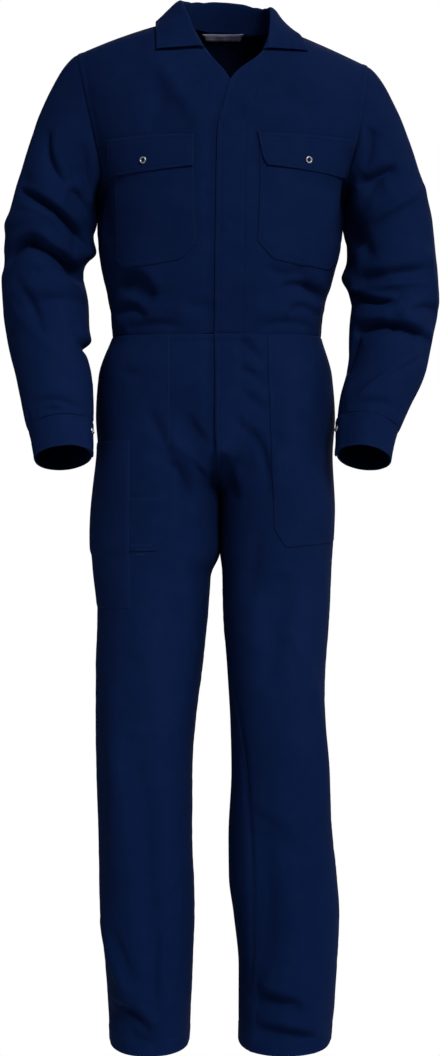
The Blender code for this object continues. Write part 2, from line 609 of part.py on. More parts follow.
def sleeve_plain(side):
    """A sleeve without folds: s is 0 at the armhole, 1 below the cap, 2 at the cuff."""
    def surface(s, w):
        s, w = np.broadcast_arrays(s, w)
        start, across, out = armhole(side, w)
        start = start + across * SLEEVE_SEAM
        round_top = np.sin(math.pi * np.clip(w, 0, 1))[..., None] ** 2
        leave = unit(across * round_top + out * (1 - round_top))
        ring, ahead = tube(ARMS[side], side, np.full(s.shape, CAP_END_DROP), w)
        reach = np.linalg.norm(ring - start, axis=-1, keepdims=True) * CAP_FULLNESS
        t = np.clip(s, 0, 1)[..., None]
        cap = (start * (1 + 2 * t) * (1 - t) ** 2 + ring * t ** 2 * (3 - 2 * t)
               + leave * reach * t * (1 - t) ** 2 - ahead * reach * t ** 2 * (1 - t))
        drop = CAP_END_DROP + (CUFF_SEAM_DROP[side] - CAP_END_DROP) * np.clip(s - 1, 0, 1)
        arm, _ = tube(ARMS[side], side, drop, w)
        return np.where(s[..., None] < 1, cap, arm)

    return surface


def sleeve(side):
    plain = sleeve_plain(side)
    outward = -SIGN[side]

    def surface(s, w):
        at = plain(s, w)
        fade = ease(s / SEWN_FADE[0]) * ease((2 - s) / SEWN_FADE[1])
        height = fold_height(SLEEVE_FOLDS[side], np.broadcast_to(w, at.shape[:-1]),
                             -at[..., 2], SLEEVE_GIRTH, True) * fade
        return raised(plain, s, w, height, outward, 0.0, 1.0)

    return surface


# ------------------------------------------------------------------ making the solids
def finish(name, colour, roughness, metallic=0.0):
    material = bpy.data.materials.new(name)
    material.use_nodes = True
    shader = material.node_tree.nodes["Principled BSDF"]
    shader.inputs["Base Color"].default_value = colour
    shader.inputs["Roughness"].default_value = roughness
    shader.inputs["Metallic"].default_value = metallic
    return material


def add_object(name, bm, colour, roughness=0.85, metallic=0.0):
    bmesh.ops.recalc_face_normals(bm, faces=bm.faces)
    if bm.calc_volume(signed=True) < 0:
        bmesh.ops.reverse_faces(bm, faces=bm.faces)
    mesh = bpy.data.meshes.new(name)
    bm.to_mesh(mesh)
    bm.free()
    mesh.shade_smooth()
    mesh.set_sharp_from_angle(angle=math.radians(40))
    mesh.materials.append(finish(name + "_finish", colour, roughness, metallic))
    item = bpy.data.objects.new(name, mesh)
    bpy.context.scene.collection.objects.link(item)
    return item


def wall(name, outer, inner, colour=NAVY, closed=False):
    """Closed wall of cloth between two sheets of points (rows, columns, 3)."""
    if outer[0, -1, 0] < outer[0, 0, 0]:
        outer, inner = outer[:, ::-1], inner[:, ::-1]
    rows, columns = outer.shape[:2]
    bm = bmesh.new()
    bmesh.ops.create_grid(bm, x_segments=columns - 1, y_segments=rows - 1, size=1.0)
    number = bm.verts.layers.int.new("number")
    for vert in bm.verts:
        column = round((vert.co.x + 1) / 2 * (columns - 1))
        row = round((vert.co.y + 1) / 2 * (rows - 1))
        vert[number] = row * columns + column
        vert.co = outer[row, column]
    if closed:
        bmesh.ops.remove_doubles(bm, verts=bm.verts, dist=1e-6)
    bmesh.ops.triangulate(bm, faces=bm.faces, quad_method="FIXED")
    first = set(bm.verts)
    bmesh.ops.extrude_face_region(bm, geom=bm.faces[:], use_keep_orig=True)
    behind = inner.reshape(-1, 3)
    for vert in bm.verts:
        if vert not in first:
            vert.co = behind[vert[number]]
    return add_object(name, bm, colour)


def armhole_rows():
    return np.array([row for row in BODY_ROWS if row >= UNDERARM_ROW])


def body_rows():
    """Rows of the upper body, its ends just off the waist and shoulder seams."""
    rows = np.array(BODY_ROWS)
    rows[0] = SEAM / ROW_LENGTH
    rows[-1] = SHOULDER_ROW - SEAM / TOP_ROW_LENGTH
    return rows


def guide(rows, table, edge, place):
    """Line of a panel along one edge of a pocket: its row and x on each panel row."""
    base = table[next(iter(table))]
    found = [place(x, drop)[0] for x, drop in zip(table[edge + "_x"], table[edge + "_drop"])]
    beyond = np.maximum(base[0] - rows, rows - base[-1])
    shift = np.interp(rows, base, np.array(found) - base) * ease(1 - beyond / GUIDE_FADE)
    return rows + shift, np.interp(rows, base, table[edge + "_x"])


def lay_columns(lines, counts, sign):
    """(row, u) of each point of a panel: even columns between its lines."""
    reach = np.array([line[1] for line in lines]) * sign
    place = np.array([line[0] for line in lines])
    for k in range(1, len(lines) - 1):
        reach[k] = np.maximum(reach[k], reach[k - 1] + COLUMN_STEP * counts[k - 1])
    for k in range(len(lines) - 2, 0, -1):
        reach[k] = np.minimum(reach[k], reach[k + 1] - COLUMN_STEP * counts[k])
    a, u = [place[0]], [reach[0]]
    for k, count in enumerate(counts):
        for share in np.linspace(0, 1, count + 1)[1:]:
            a.append(place[k] * (1 - share) + place[k + 1] * share)
            u.append(reach[k] * (1 - share) + reach[k + 1] * share)
    return np.array(a).T, np.array(u).T * sign


def lay_patch(name, panel, rows, columns, lift, puff=0.0):
    """A patch on a panel: some of the panel's own rows and columns, moved out."""
    a, u = panel["a"][rows, columns], panel["u"][rows, columns]
    down = np.sin(np.linspace(0, math.pi, a.shape[0]))
    across = np.sin(np.linspace(*PUFF_FROM_TO, a.shape[1]) * math.pi)
    height = lift + puff * np.outer(down, across)
    outer = panel["surface"](a, u, height + POCKET_CLOTH)
    return wall(name, outer, panel["surface"](a, u, height))


def lap_depth(x, over):
    """How far the under front lies below the upper one, whose edge is at over."""
    return UNDERLAP * ease((x - over[:, None] + LAP_WIDE) / (LAP_WIDE - LAP_FLAT))


def make_front(side):
    """Upper front: from the front edge and neckline to the side seam and armhole."""
    rows = body_rows()
    sign = SIGN[side]
    over = straight(FRONT_EDGE, "left_x", rows)
    edges = [straight(FRONT_EDGE, side + "_x", rows), np.full(rows.shape, CENTRE_X),
             straight(FRONT_EDGE, OTHER[side] + "_x", rows)]
    counts = [1, 1, 2]
    if side == "right":
        edges.append(over - LAP_FLAT)
        counts = [1, 1, 1, 1]
    lines = [(rows, body_u(rows, x)) for x in edges]
    for edge in ("inner", "outer", "flap"):
        level, x = guide(rows, CHEST_POCKET[side], edge, body_place)
        lines.append((level, np.clip(body_u(level, x), -SIDE_U, SIDE_U)))
    lines.append((rows, np.full(rows.shape, sign * (1 - EDGE_U))))
    counts += [POCKET_COLUMNS, 1, 1]
    a, u = lay_columns(lines, counts, sign)
    under = np.zeros(a.shape)
    if side == "right":
        under = lap_depth(body_plain(a, u)[..., 0], over) * ease((LAP_FADE[0] - a) / LAP_FADE[1])
    wall("front_" + side, raised(body, a, u, -under), raised(body, a, u, -under - CLOTH))
    inner_column = sum(counts[:-3])
    panel = {"a": a, "u": u, "surface": lambda a, u, lift: raised(body, a, u, lift)}
    make_chest_pocket(side, panel, inner_column, inner_column + counts[-3])


def make_chest_pocket(side, panel, first, last):
    """Patch pocket between two columns of the front, and the flap over its top."""
    bottom, flap_bottom, flap_top = [BODY_ROWS.index(row) for row in CHEST_ROWS]
    lay_patch("chest_pocket_" + side, panel, slice(bottom, flap_top), slice(first, last + 1),
              LAID_ON)
    flap = lay_patch("chest_flap_" + side, panel, slice(flap_bottom, flap_top + 1),
                     slice(first, last + 2), 2 * LAID_ON + POCKET_CLOTH)
    bpy.context.view_layer.update()
    x, drop = CHEST_SNAPS[side]
    _, hit, normal, _ = flap.ray_cast((x, -1.0, -drop), (0.0, 1.0, 0.0))
    normal = np.array(normal)
    make_snap("snap_chest_" + side, np.array(hit) + normal * SNAP_LIFT, normal)


def make_back():
    """Upper back: one panel, its top row along the shoulders and the back neck."""
    share = np.linspace(-1, 1, BACK_COLUMNS + 1) * (1 - EDGE_U)
    neck_right = body_u(SHOULDER_ROW, FRONT_EDGE["right_x"][-1])
    neck_left = body_u(SHOULDER_ROW, FRONT_EDGE["left_x"][-1])
    share[np.argmin(abs(share - neck_right))] = neck_right
    share[np.argmin(abs(share - neck_left))] = neck_left
    middle = (neck_right + neck_left) / 2
    reach = (neck_left - neck_right) / 2
    dip = np.sqrt(np.clip(1 - ((share - middle) / reach) ** 2, 0, 1)) * BACK_NECK_DEPTH
    rows = 2 * SHOULDER_ROW - body_rows()
    keep = ease((SHOULDER_ROW + NECK_FADE - rows) / NECK_FADE)[:, None]
    a = rows[:, None] + dip[None, :] * keep
    b = np.broadcast_to(share, a.shape)
    outer = raised(body, a, b, np.zeros(a.shape))
    inner = raised(body, a, b, np.full(a.shape, -CLOTH))
    wall("back_upper", outer, inner)
    top = len(rows) - 1
    inside = [sheet_point(inner, top - step, LABEL_X + across)
              for step in np.linspace(LABEL_FROM, LABEL_FROM + LABEL_ROWS, 3)
              for across in np.linspace(-LABEL_HALF_WIDTH, LABEL_HALF_WIDTH, LABEL_COLUMNS)]
    make_label(np.array(inside).reshape(3, LABEL_COLUMNS, 3))


def sheet_point(sheet, row, x):
    """Point of a sheet of flat faces at a row (with a fraction) and an x."""
    low = int(row)
    line = sheet[low] * (1 - row + low) + sheet[min(low + 1, len(sheet) - 1)] * (row - low)
    return np.array([np.interp(x, line[:, 0], line[:, axis]) for axis in range(3)])


def trouser_rows():
    seat = np.linspace(0, 1, SEAT_ROWS + 1)
    legs = np.linspace(1, 2, LEG_ROWS + 1)
    rows = np.concatenate([seat, legs[1:]])
    rows[0] = SEAM / SEAT_LENGTH
    for drop in (RULE_TOP, RULE_BOTTOM):
        v = trouser_v(drop)
        rows[np.argmin(abs(rows - v))] = v
    return rows


def make_trouser(face, side):
    """One trouser panel: waist seam to hem, centre and inseam to outside seam."""
    surface = trousers(face, side)
    plain = trousers_plain(face, side)
    sign = SIGN[side]
    rows = trouser_rows()
    drop, _ = seat_level(rows)
    under = np.zeros((len(rows), 1))
    lines = [(rows, np.full(rows.shape, sign * EDGE_U)),
             (rows, np.full(rows.shape, sign * (1 - EDGE_U)))]
    counts = [LEG_COLUMNS]
    if face == "front":
        lines, counts = trouser_lines(plain, side, rows)
    a, u = lay_columns(lines, counts, sign)
    over = centre_line(drop) - straight(FLY_EDGE, "left_past", drop)
    if face == "front" and side == "right":
        fade = ease((FLY_END_DROP + FLY_FADE - drop) / FLY_FADE)[:, None]
        under = lap_depth(plain(a, u)[..., 0], over) * fade
    outward = -1.0 if face == "front" else 1.0

    def at(a, u, lift):
        low = np.minimum(u, 0.0) if side == "left" else np.full(u.shape, -1.0)
        high = np.maximum(u, 0.0) if side == "right" else np.full(u.shape, 1.0)
        return raised(surface, a, u, lift, outward, low, high)

    wall("trouser_" + face + "_" + side, at(a, u, -under), at(a, u, -under - CLOTH))
    if face == "front":
        make_hip_pockets(side, {"a": a, "u": u, "surface": at}, drop, counts)


def trouser_lines(plain, side, rows):
    """Lines of a trouser front: the fly, the pocket's inner edge, the outside seam."""
    sign = SIGN[side]
    drop, _ = seat_level(rows)
    middle = centre_line(drop)
    edge_x = middle - sign * straight(FLY_EDGE, side + "_past", drop)
    other_x = middle + sign * straight(FLY_EDGE, OTHER[side] + "_past", drop)

    def at_x(level, x):
        return np.minimum(trouser_u(plain, level, x, side) * sign, SIDE_U)

    edge = np.where(drop < FLY_END_DROP, np.minimum(at_x(rows, edge_x), EDGE_U), EDGE_U)
    reach = [(rows, edge), (rows, np.zeros(rows.shape)), (rows, at_x(rows, other_x))]
    counts = [1, 1, 2]
    if side == "right":
        reach.append((rows, at_x(rows, other_x - LAP_FLAT)))
        counts = [1, 1, 1, 2]
    base = dict(HIP_POCKET[side])
    base["drop"] = np.array([trouser_v(drop) for drop in base["drop"]])
    level, x = guide(rows, base, "inner", lambda x, drop: (trouser_v(drop),))
    reach.append((level, at_x(level, x)))
    counts.append(POCKET_COLUMNS)
    if side == "right":
        reach.append((rows, at_x(rows, np.full(rows.shape, RULE_X))))
        counts[-1:] = [POCKET_COLUMNS - RULE_COLUMNS, RULE_COLUMNS]
    reach.append((rows, np.full(rows.shape, SIDE_U)))
    reach.append((rows, np.full(rows.shape, 1 - EDGE_U)))
    counts.append(1)
    return spread(rows, reach, counts, sign), counts


def spread(rows, lines, counts, sign):
    """Below the fork the fly's lines, and further down the pockets', come to even places."""
    inner = 4 if sign < 0 else 3
    total = sum(counts)
    done = {}
    for k, (_, reach) in reversed(list(enumerate(lines))):
        if k >= inner:
            free = ease((rows - SPREAD_FROM) / SPREAD_OVER)
            even = EDGE_U + (1 - 2 * EDGE_U) * sum(counts[:k]) / total
        else:
            free = ease((rows - 1) / FLY_SPREAD)
            even = EDGE_U + done[inner] * sum(counts[:k]) / sum(counts[:inner])
        done[k] = reach * (1 - free) + even * free
    return [(level, done[k] * sign) for k, (level, _) in enumerate(lines)]


def make_hip_pockets(side, panel, drop, counts):
    """Hip pocket between its inner edge and the side, and the rule pocket on the right."""
    bottom = int(np.argmin(abs(drop - HIP_BOTTOM)))
    last = sum(counts) - counts[-1]
    first = last - POCKET_COLUMNS
    lay_patch("hip_pocket_" + side, panel, slice(0, bottom + 1), slice(first, last + 1), LAID_ON)
    if side == "right":
        top = int(np.argmin(abs(drop - RULE_TOP)))
        bottom = int(np.argmin(abs(drop - RULE_BOTTOM)))
        lay_patch("rule_pocket", panel, slice(top, bottom + 1), slice(last - RULE_COLUMNS, last + 1),
                  2 * LAID_ON + POCKET_CLOTH, RULE_PUFF)


def make_sleeve(side):
    rows = np.concatenate([np.linspace(0, 1, CAP_ROWS + 1), np.linspace(1, 2, ARM_ROWS + 1)[1:]])
    rows[-1] = 2 - 2 * SEAM / ARM_LENGTH
    front = (armhole_rows() - 5) / 10
    around = np.concatenate([front, 1 - front[-2::-1]])
    a, b = np.meshgrid(rows, around, indexing="ij")
    outward = -SIGN[side]
    surface = sleeve(side)
    outer = surface(a, b)
    inner = raised(surface, a, b, np.full(a.shape, -CLOTH), outward, 0.0, 1.0)
    for sheet in (outer, inner):
        middle = (sheet[:, 0] + sheet[:, -1]) / 2
        sheet[:, 0] = middle
        sheet[:, -1] = middle
    return wall("sleeve_" + side, outer, inner, closed=True)


def make_cuff(side):
    """A band whose front end laps over its back end on the inside of the wrist."""
    around = np.linspace(0, 1, CUFF_COLUMNS + 1)
    proud = CUFF_LAP * ease((around - (1 - CUFF_TAB)) / CUFF_BEND)
    drop = np.array([CUFF_SEAM_DROP[side] + CUFF_OFF, CUFF_END_DROP[side]])
    a, w = np.meshgrid(drop, CUFF_START - around * CUFF_TURNS, indexing="ij")
    outer, _ = tube(ARMS[side], side, a, w, np.broadcast_to(proud, a.shape))
    inner, _ = tube(ARMS[side], side, a, w, np.broadcast_to(proud - BAND_CLOTH, a.shape))
    wall("cuff_" + side, outer, inner)


def make_collar():
    """One-piece collar: up from the neck seam, over the roll and down to its edge."""
    place = np.linspace(0, 1, COLLAR_COLUMNS + 1)

    def line(name):
        row = along(COLLAR, name + "_row", place)
        u = body_u(row, along(COLLAR, name + "_x", place))
        return raised(body, row, u, along(COLLAR, name + "_lift", place))

    seam, roll, edge = line("seam"), line("roll"), line("edge")
    down = np.linspace(0, 1, COLLAR_ROWS + 1)
    turn = unit(edge - seam) * np.minimum(ROLL_SPREAD, np.linalg.norm(roll - seam, axis=-1,
                                                                     keepdims=True))
    stand = [curve(seam, roll, roll - seam, turn, t / ROLL_SHARE)
             for t in down if t < ROLL_SHARE]
    fall = [curve(roll, edge, turn, edge - roll, (t - ROLL_SHARE) / (1 - ROLL_SHARE))
            for t in down if t >= ROLL_SHARE]
    outer = np.array(stand + fall)
    wall("collar", outer, outer - sheet_normals(outer) * BAND_CLOTH)


def curve(start, end, leave, arrive, t):
    """Cubic between two lines of points, with the ways it leaves and arrives."""
    return (start * (1 + 2 * t) * (1 - t) ** 2 + end * t ** 2 * (3 - 2 * t)
            + leave * t * (1 - t) ** 2 - arrive * t ** 2 * (1 - t))


def sheet_normals(points):
    """Normals of a sheet of points, from its rows and columns."""
    down = np.gradient(points, axis=0)
    across = np.gradient(points, axis=1)
    return unit(np.cross(across, down))


def make_label(points):
    """Plain strip on the inside of the back, under the neck seam."""
    inward = -sheet_normals(points)
    if np.sum(inward[..., 1]) > 0:
        inward = -inward
    wall("neck_label", points + inward * LABEL_OFF,
         points + inward * (LABEL_OFF + LABEL_CLOTH), GREY)


def make_snap(name, centre, normal):
    """Ring snap: a turned ring with a sunk middle, standing on the cloth."""
    bm = bmesh.new()
    verts = [bm.verts.new((x * SNAP_RADIUS, 0.0, z * SNAP_HEIGHT)) for x, z in SNAP_PROFILE]
    edges = [bm.edges.new(pair) for pair in zip(verts, verts[1:])]
    bmesh.ops.spin(bm, geom=verts + edges, cent=(0, 0, 0), axis=(0, 0, 1), dvec=(0, 0, 0),
                   angle=2 * math.pi, steps=SNAP_STEPS, use_merge=True, use_duplicate=False)
    bmesh.ops.remove_doubles(bm, verts=bm.verts, dist=1e-6)
    side = unit(np.cross(normal, [0.0, 0.0, 1.0]))
    up = np.cross(normal, side)
    for vert in bm.verts:
        x, y, z = vert.co
        vert.co = centre + side * x + up * y + normal * z
    add_object(name, bm, STEEL, 0.3, 1.0)


def make_cuff_snap(side):
    drop = np.array((CUFF_SEAM_DROP[side] * 2 + CUFF_END_DROP[side]) / 3)
    w = np.array(CUFF_SNAP_W)
    low, _ = tube(ARMS[side], side, drop, w, CUFF_LAP + CUFF_SNAP_LIFT)
    high, _ = tube(ARMS[side], side, drop, w, CUFF_LAP + 10 * CUFF_SNAP_LIFT)
    make_snap("snap_cuff_" + side, low, unit(high - low))


def clear_scene():
    for item in list(bpy.data.objects):
        bpy.data.objects.remove(item, do_unlink=True)


def main():
    clear_scene()
    make_back()
    make_collar()
    for side in ("right", "left"):
        make_front(side)
        make_sleeve(side)
        make_cuff(side)
        make_cuff_snap(side)
        make_trouser("front", side)
        make_trouser("back", side)


main()
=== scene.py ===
"""Looks of the boiler suit: every panel as fine cloth on its solid's form, with its
creases, felled seams, topstitching and thread, then floor, light and camera.

Metres, +Z up, the front faces -Y.  Right and left are the wearer's, so the right
side lies at -X.  "drop" is the distance below the origin.
"""
import math
from functools import partial

import bmesh
import bpy
import numpy as np
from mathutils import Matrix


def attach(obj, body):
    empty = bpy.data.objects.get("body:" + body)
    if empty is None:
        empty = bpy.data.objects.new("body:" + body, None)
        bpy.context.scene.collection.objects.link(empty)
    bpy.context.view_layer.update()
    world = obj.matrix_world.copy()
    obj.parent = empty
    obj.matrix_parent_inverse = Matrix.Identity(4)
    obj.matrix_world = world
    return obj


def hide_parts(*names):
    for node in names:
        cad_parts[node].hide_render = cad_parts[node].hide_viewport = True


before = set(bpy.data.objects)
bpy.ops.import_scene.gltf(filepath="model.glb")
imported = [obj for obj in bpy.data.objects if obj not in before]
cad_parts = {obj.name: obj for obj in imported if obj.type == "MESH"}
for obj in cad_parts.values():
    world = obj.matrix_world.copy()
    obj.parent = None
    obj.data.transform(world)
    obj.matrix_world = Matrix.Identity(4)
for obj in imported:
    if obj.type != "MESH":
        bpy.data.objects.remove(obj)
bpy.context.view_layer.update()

# --- sizes, in metres
CLOTH = 0.0010          # wall of the shell cloth
PATCH_CLOTH = 0.0012    # pockets and flaps, turned in at their edges
BAND_CLOTH = 0.0020     # collar and cuffs, two layers and interlining
LAID_ON = 0.0005        # from a panel to what is sewn on it
UNDERLAP = 0.0028       # how far the under front lies below the upper one
LAP_FLAT = 0.008        # from the upper edge, where the under front is fully below
LAP_WIDE = 0.023        # from the upper edge, where it starts to go below
LAP_FADE = (9.0, 0.8)   # row where the two fronts have parted, and over how many rows
FLY_FADE = 0.014
CENTRE_X = 0.010        # centre front and centre back
WAIST_DROP, RISE_DROP, CROTCH_DROP, HEM_DROP = 0.441, 0.500, 0.700, 1.515
APART_DROP, APART_OVER = 0.763, 0.04    # where the legs part, and over what height
LEG_PARTING = 0.0003    # between the two legs at the fork, each way
BODY_MIDDLE = np.array([CENTRE_X, 0.0, -0.20])
SHOULDER_SLOPE = {"right": 1.6, "left": 1.3}
FULLNESS = 0.22         # 0 is an ellipse, more is a squarer section
CUFF_SEAM_DROP = {"right": 0.580, "left": 0.578}
CUFF_END_DROP = 0.6255
CAP_END_DROP = 0.270
SLEEVE_SEAM = 0.0002
CAP_FULLNESS = 0.5
UNDERARM_SHARE = 0.05
TOP_SHARE = 0.2
FORK_REACH = 0.34
FORK_FROM = 0.610       # drop from which the centre line runs back to the fork
HEM_ROUND = (0.005, 0.011)  # how much lower a hem is in front, and its whole curve
BACK_NECK_DEPTH = 0.72
NECK_FADE = 3.0
CUFF_START, CUFF_TURNS = 0.09, 1.12
CUFF_TAB, CUFF_BEND, CUFF_LAP = 0.14, 0.05, 0.0024
CUFF_SNAP_W = 0.045
SIDE_U = 0.97
UNDERARM_ROW, SHOULDER_ROW = 5, 10
PLACKET_ROW = 8.6       # where the stitching of the concealed fly starts
SLEEVE_GIRTH = 0.43     # turns the place round a sleeve into metres
FOLD_FADE = 0.12        # of u, over which folds fade out towards a seam
CREASE_FADE = 0.04      # and over which creases do
SEWN_FADE = (0.3, 0.12)
STEP = 0.0042           # between two rows or columns of the cloth
SLEEVE_STEP = 0.0033    # and between two rows of a sleeve, where its folds are sharper
LEG_STEPS = (0.0042, 0.0052)    # columns and rows of a trouser front
BACK_STEPS = (0.0058, 0.0058)   # and of the backs, whose folds are softer
COARSE = 70             # rows and columns of a panel's first grid
HALVINGS = 30           # of the way to a place that is searched for
NUDGE = 1e-3            # from a place to its neighbours, to find the slope there
SIGN = {"right": -1.0, "left": 1.0}
OTHER = {"right": "left", "left": "right"}
OUTWARD = {"front": -1.0, "back": 1.0}
MORE = {"left": 0, "right": 20}     # added to a piece's seeds

# --- sewing
FELL = 0.0080           # width of a felled seam
FELL_RISE = 0.0008      # and how far it stands up
FELL_PALE = 0.8         # share of its width where it wears pale
STITCH = 0.0030         # from one stitch to the next
STITCH_LONG, STITCH_WIDE, STITCH_HIGH = 0.0023, 0.00050, 0.00030
EDGE_STITCH = 0.0070    # from the front edge to its topstitching
FLY_STITCH = 0.0420     # and to the stitching that holds the concealed fly
BAND_STITCH = 0.0055    # from the edges of collar and cuffs
FLAP_STITCH = 0.0050
TWO_ROWS = [0.0016, FELL - 0.0014]
SEAM_MARKS = TWO_ROWS + [FELL]
HEM_DEEP = 0.024
BARE_EDGE = [0.002]     # an edge with no stitches along it
BAND_PALE = 0.0022      # how far in the edges of collar and cuffs are worn


# --- tables
def read_table(names, rows):
    """A table with named columns; a surface's first column grows from row to row."""
    return {name: np.array([row[i] for row in rows]) for i, name in enumerate(names.split())}


def read_both(names, right, left):
    return {"right": read_table(names, right), "left": read_table(names, left)}


# Upper body, front over to back: row 0 is the waist in front, 5 the underarm, 10 the
# shoulder line, 15 the underarm and 20 the waist behind.  turn: the section's angle.
BODY = read_table("row centre_drop right_drop left_drop centre_y edge_y right_x left_x turn", [
    (0.0, 0.441, 0.441, 0.441, -0.113, 0.000, -0.163, 0.153, 90),
    (1.0, 0.400, 0.400, 0.400, -0.119, 0.000, -0.166, 0.157, 90),
    (2.0, 0.355, 0.355, 0.355, -0.127, 0.000, -0.1755, 0.1695, 90),
    (3.0, 0.310, 0.310, 0.310, -0.133, 0.002, -0.184, 0.182, 90),
    (4.0, 0.270, 0.270, 0.270, -0.137, 0.004, -0.187, 0.188, 90),
    (5.0, 0.235, 0.235, 0.235, -0.139, 0.005, -0.187, 0.191, 90),
    (6.0, 0.185, 0.195, 0.197, -0.140, -0.048, -0.178, 0.194, 72),
    (7.0, 0.125, 0.137, 0.142, -0.136, -0.062, -0.190, 0.208, 66),
    (8.0, 0.064, 0.080, 0.090, -0.119, -0.054, -0.203, 0.218, 62),
    (9.0, 0.010, 0.034, 0.048, -0.086, -0.034, -0.213, 0.2235, 60),
    (9.5, -0.035, 0.015, 0.032, -0.048, -0.017, -0.217, 0.225, 60),
    (10.0, -0.055, 0.008, 0.026, 0.003, 0.003, -0.218, 0.2255, 60),
    (10.5, -0.047, 0.014, 0.031, 0.050, 0.022, -0.217, 0.225, 60),
    (11.0, -0.018, 0.032, 0.046, 0.084, 0.040, -0.214, 0.222, 60),
    (12.0, 0.050, 0.078, 0.088, 0.112, 0.062, -0.206, 0.214, 62),
    (13.0, 0.120, 0.137, 0.142, 0.124, 0.070, -0.198, 0.205, 66),
    (14.0, 0.185, 0.195, 0.197, 0.122, 0.055, -0.190, 0.194, 72),
    (15.0, 0.235, 0.235, 0.235, 0.118, 0.005, -0.187, 0.191, 90),
    (16.0, 0.270, 0.270, 0.270, 0.113, 0.004, -0.187, 0.188, 90),
    (17.0, 0.310, 0.310, 0.310, 0.107, 0.002, -0.184, 0.182, 90),
    (18.0, 0.355, 0.355, 0.355, 0.104, 0.000, -0.1755, 0.1695, 90),
    (19.0, 0.400, 0.400, 0.400, 0.103, 0.000, -0.166, 0.157, 90),
    (20.0, 0.441, 0.441, 0.441, 0.104, 0.000, -0.163, 0.153, 90),
])
# Front edges and front necklines, from the waist (row 0) to the shoulder (row 10).
FRONT_EDGE = read_table("row right_x left_x", [
    (0.0, 0.020, -0.0086),
    (4.0, 0.021, -0.0065),
    (6.0, 0.024, -0.0052),
    (6.8, 0.028, -0.0037),
    (7.4, 0.030, 0.0059),
    (8.0, 0.0165, 0.0156),
    (8.4, 0.0010, 0.0312),
    (9.0, -0.0225, 0.0629),
    (9.5, -0.0440, 0.0760),
    (10.0, -0.0600, 0.0840),
])
LEGS = read_both("drop inner_x outer_x front_y back_y side_y", [
    (0.441, -0.0040, -0.1630, -0.1130, 0.1040, 0.000),
    (0.500, -0.0040, -0.1840, -0.1240, 0.1200, 0.000),
    (0.560, -0.0040, -0.1880, -0.1310, 0.1330, 0.001),
    (0.620, -0.0040, -0.1840, -0.1320, 0.1370, 0.002),
    (0.700, -0.0040, -0.1855, -0.1220, 0.1270, 0.003),
    (0.800, -0.0140, -0.1880, -0.1100, 0.1160, 0.003),
    (0.860, -0.0185, -0.1865, -0.1050, 0.1120, 0.003),
    (0.950, -0.0280, -0.1890, -0.1000, 0.1060, 0.003),
    (1.030, -0.0380, -0.1890, -0.0980, 0.1010, 0.002),
    (1.100, -0.0425, -0.1878, -0.0950, 0.0980, 0.001),
    (1.200, -0.0425, -0.1847, -0.0910, 0.0950, 0.001),
    (1.300, -0.0390, -0.1830, -0.0880, 0.0930, 0.002),
    (1.400, -0.0420, -0.1738, -0.0860, 0.0920, 0.003),
    (1.470, -0.0452, -0.1692, -0.0860, 0.0920, 0.003),
    (1.515, -0.0472, -0.1675, -0.0860, 0.0920, 0.003),
], [
    (0.441, 0.0040, 0.1530, -0.1130, 0.1040, 0.000),
    (0.500, 0.0040, 0.1695, -0.1240, 0.1200, 0.000),
    (0.560, 0.0040, 0.1740, -0.1310, 0.1330, 0.001),
    (0.620, 0.0040, 0.1705, -0.1320, 0.1370, 0.002),
    (0.700, 0.0040, 0.1740, -0.1220, 0.1270, 0.003),
    (0.800, 0.0040, 0.1690, -0.1100, 0.1160, 0.003),
    (0.860, 0.0050, 0.1664, -0.1050, 0.1120, 0.003),
    (0.950, 0.0110, 0.1600, -0.1000, 0.1060, 0.003),
    (1.030, 0.0155, 0.1575, -0.0980, 0.1010, 0.002),
    (1.100, 0.0170, 0.1640, -0.0950, 0.0980, 0.001),
    (1.200, 0.0125, 0.1710, -0.0920, 0.0950, 0.001),
    (1.260, 0.0130, 0.1775, -0.0900, 0.0940, 0.002),
    (1.320, 0.0205, 0.1815, -0.0890, 0.0930, 0.002),
    (1.400, 0.0280, 0.1775, -0.0880, 0.0920, 0.003),
    (1.470, 0.0278, 0.1730, -0.0880, 0.0920, 0.003),
    (1.515, 0.0275, 0.1685, -0.0880, 0.0920, 0.003),
])
# Trouser front edges, past the centre line: the left laps over the right.
FLY_EDGE = read_table("drop right_past left_past", [
    (0.441, 0.0090, 0.0186),
    (0.560, 0.0100, 0.0160),
    (0.620, 0.0090, 0.0090),
    (0.650, 0.0040, 0.0040),
    (0.664, 0.0000, 0.0000),
    (0.700, 0.0000, 0.0000),
])
FLY_END_DROP = 0.664
ARMS = read_both("drop x y half_width half_depth", [
    (0.270, -0.2590, 0.004, 0.0665, 0.078),
    (0.345, -0.2710, 0.002, 0.0620, 0.075),
    (0.394, -0.2645, -0.010, 0.0645, 0.072),
    (0.443, -0.2600, -0.028, 0.0605, 0.067),
    (0.504, -0.2490, -0.053, 0.0570, 0.061),
    (0.550, -0.2425, -0.071, 0.0535, 0.0565),
    (0.572, -0.2395, -0.080, 0.0505, 0.0535),
    (0.580, -0.2385, -0.083, 0.0478, 0.0508),
    (0.6255, -0.2335, -0.1015, 0.0435, 0.0470),
], [
    (0.270, 0.2575, 0.004, 0.0670, 0.078),
    (0.345, 0.2630, 0.002, 0.0680, 0.076),
    (0.382, 0.2665, -0.006, 0.0665, 0.073),
    (0.430, 0.2600, -0.022, 0.0635, 0.069),
    (0.479, 0.2540, -0.043, 0.0585, 0.063),
    (0.528, 0.2365, -0.062, 0.0525, 0.057),
    (0.550, 0.2285, -0.071, 0.0505, 0.0545),
    (0.570, 0.2230, -0.080, 0.0480, 0.0525),
    (0.578, 0.2210, -0.083, 0.0460, 0.0498),
    (0.6255, 0.2140, -0.1025, 0.0415, 0.0465),
])
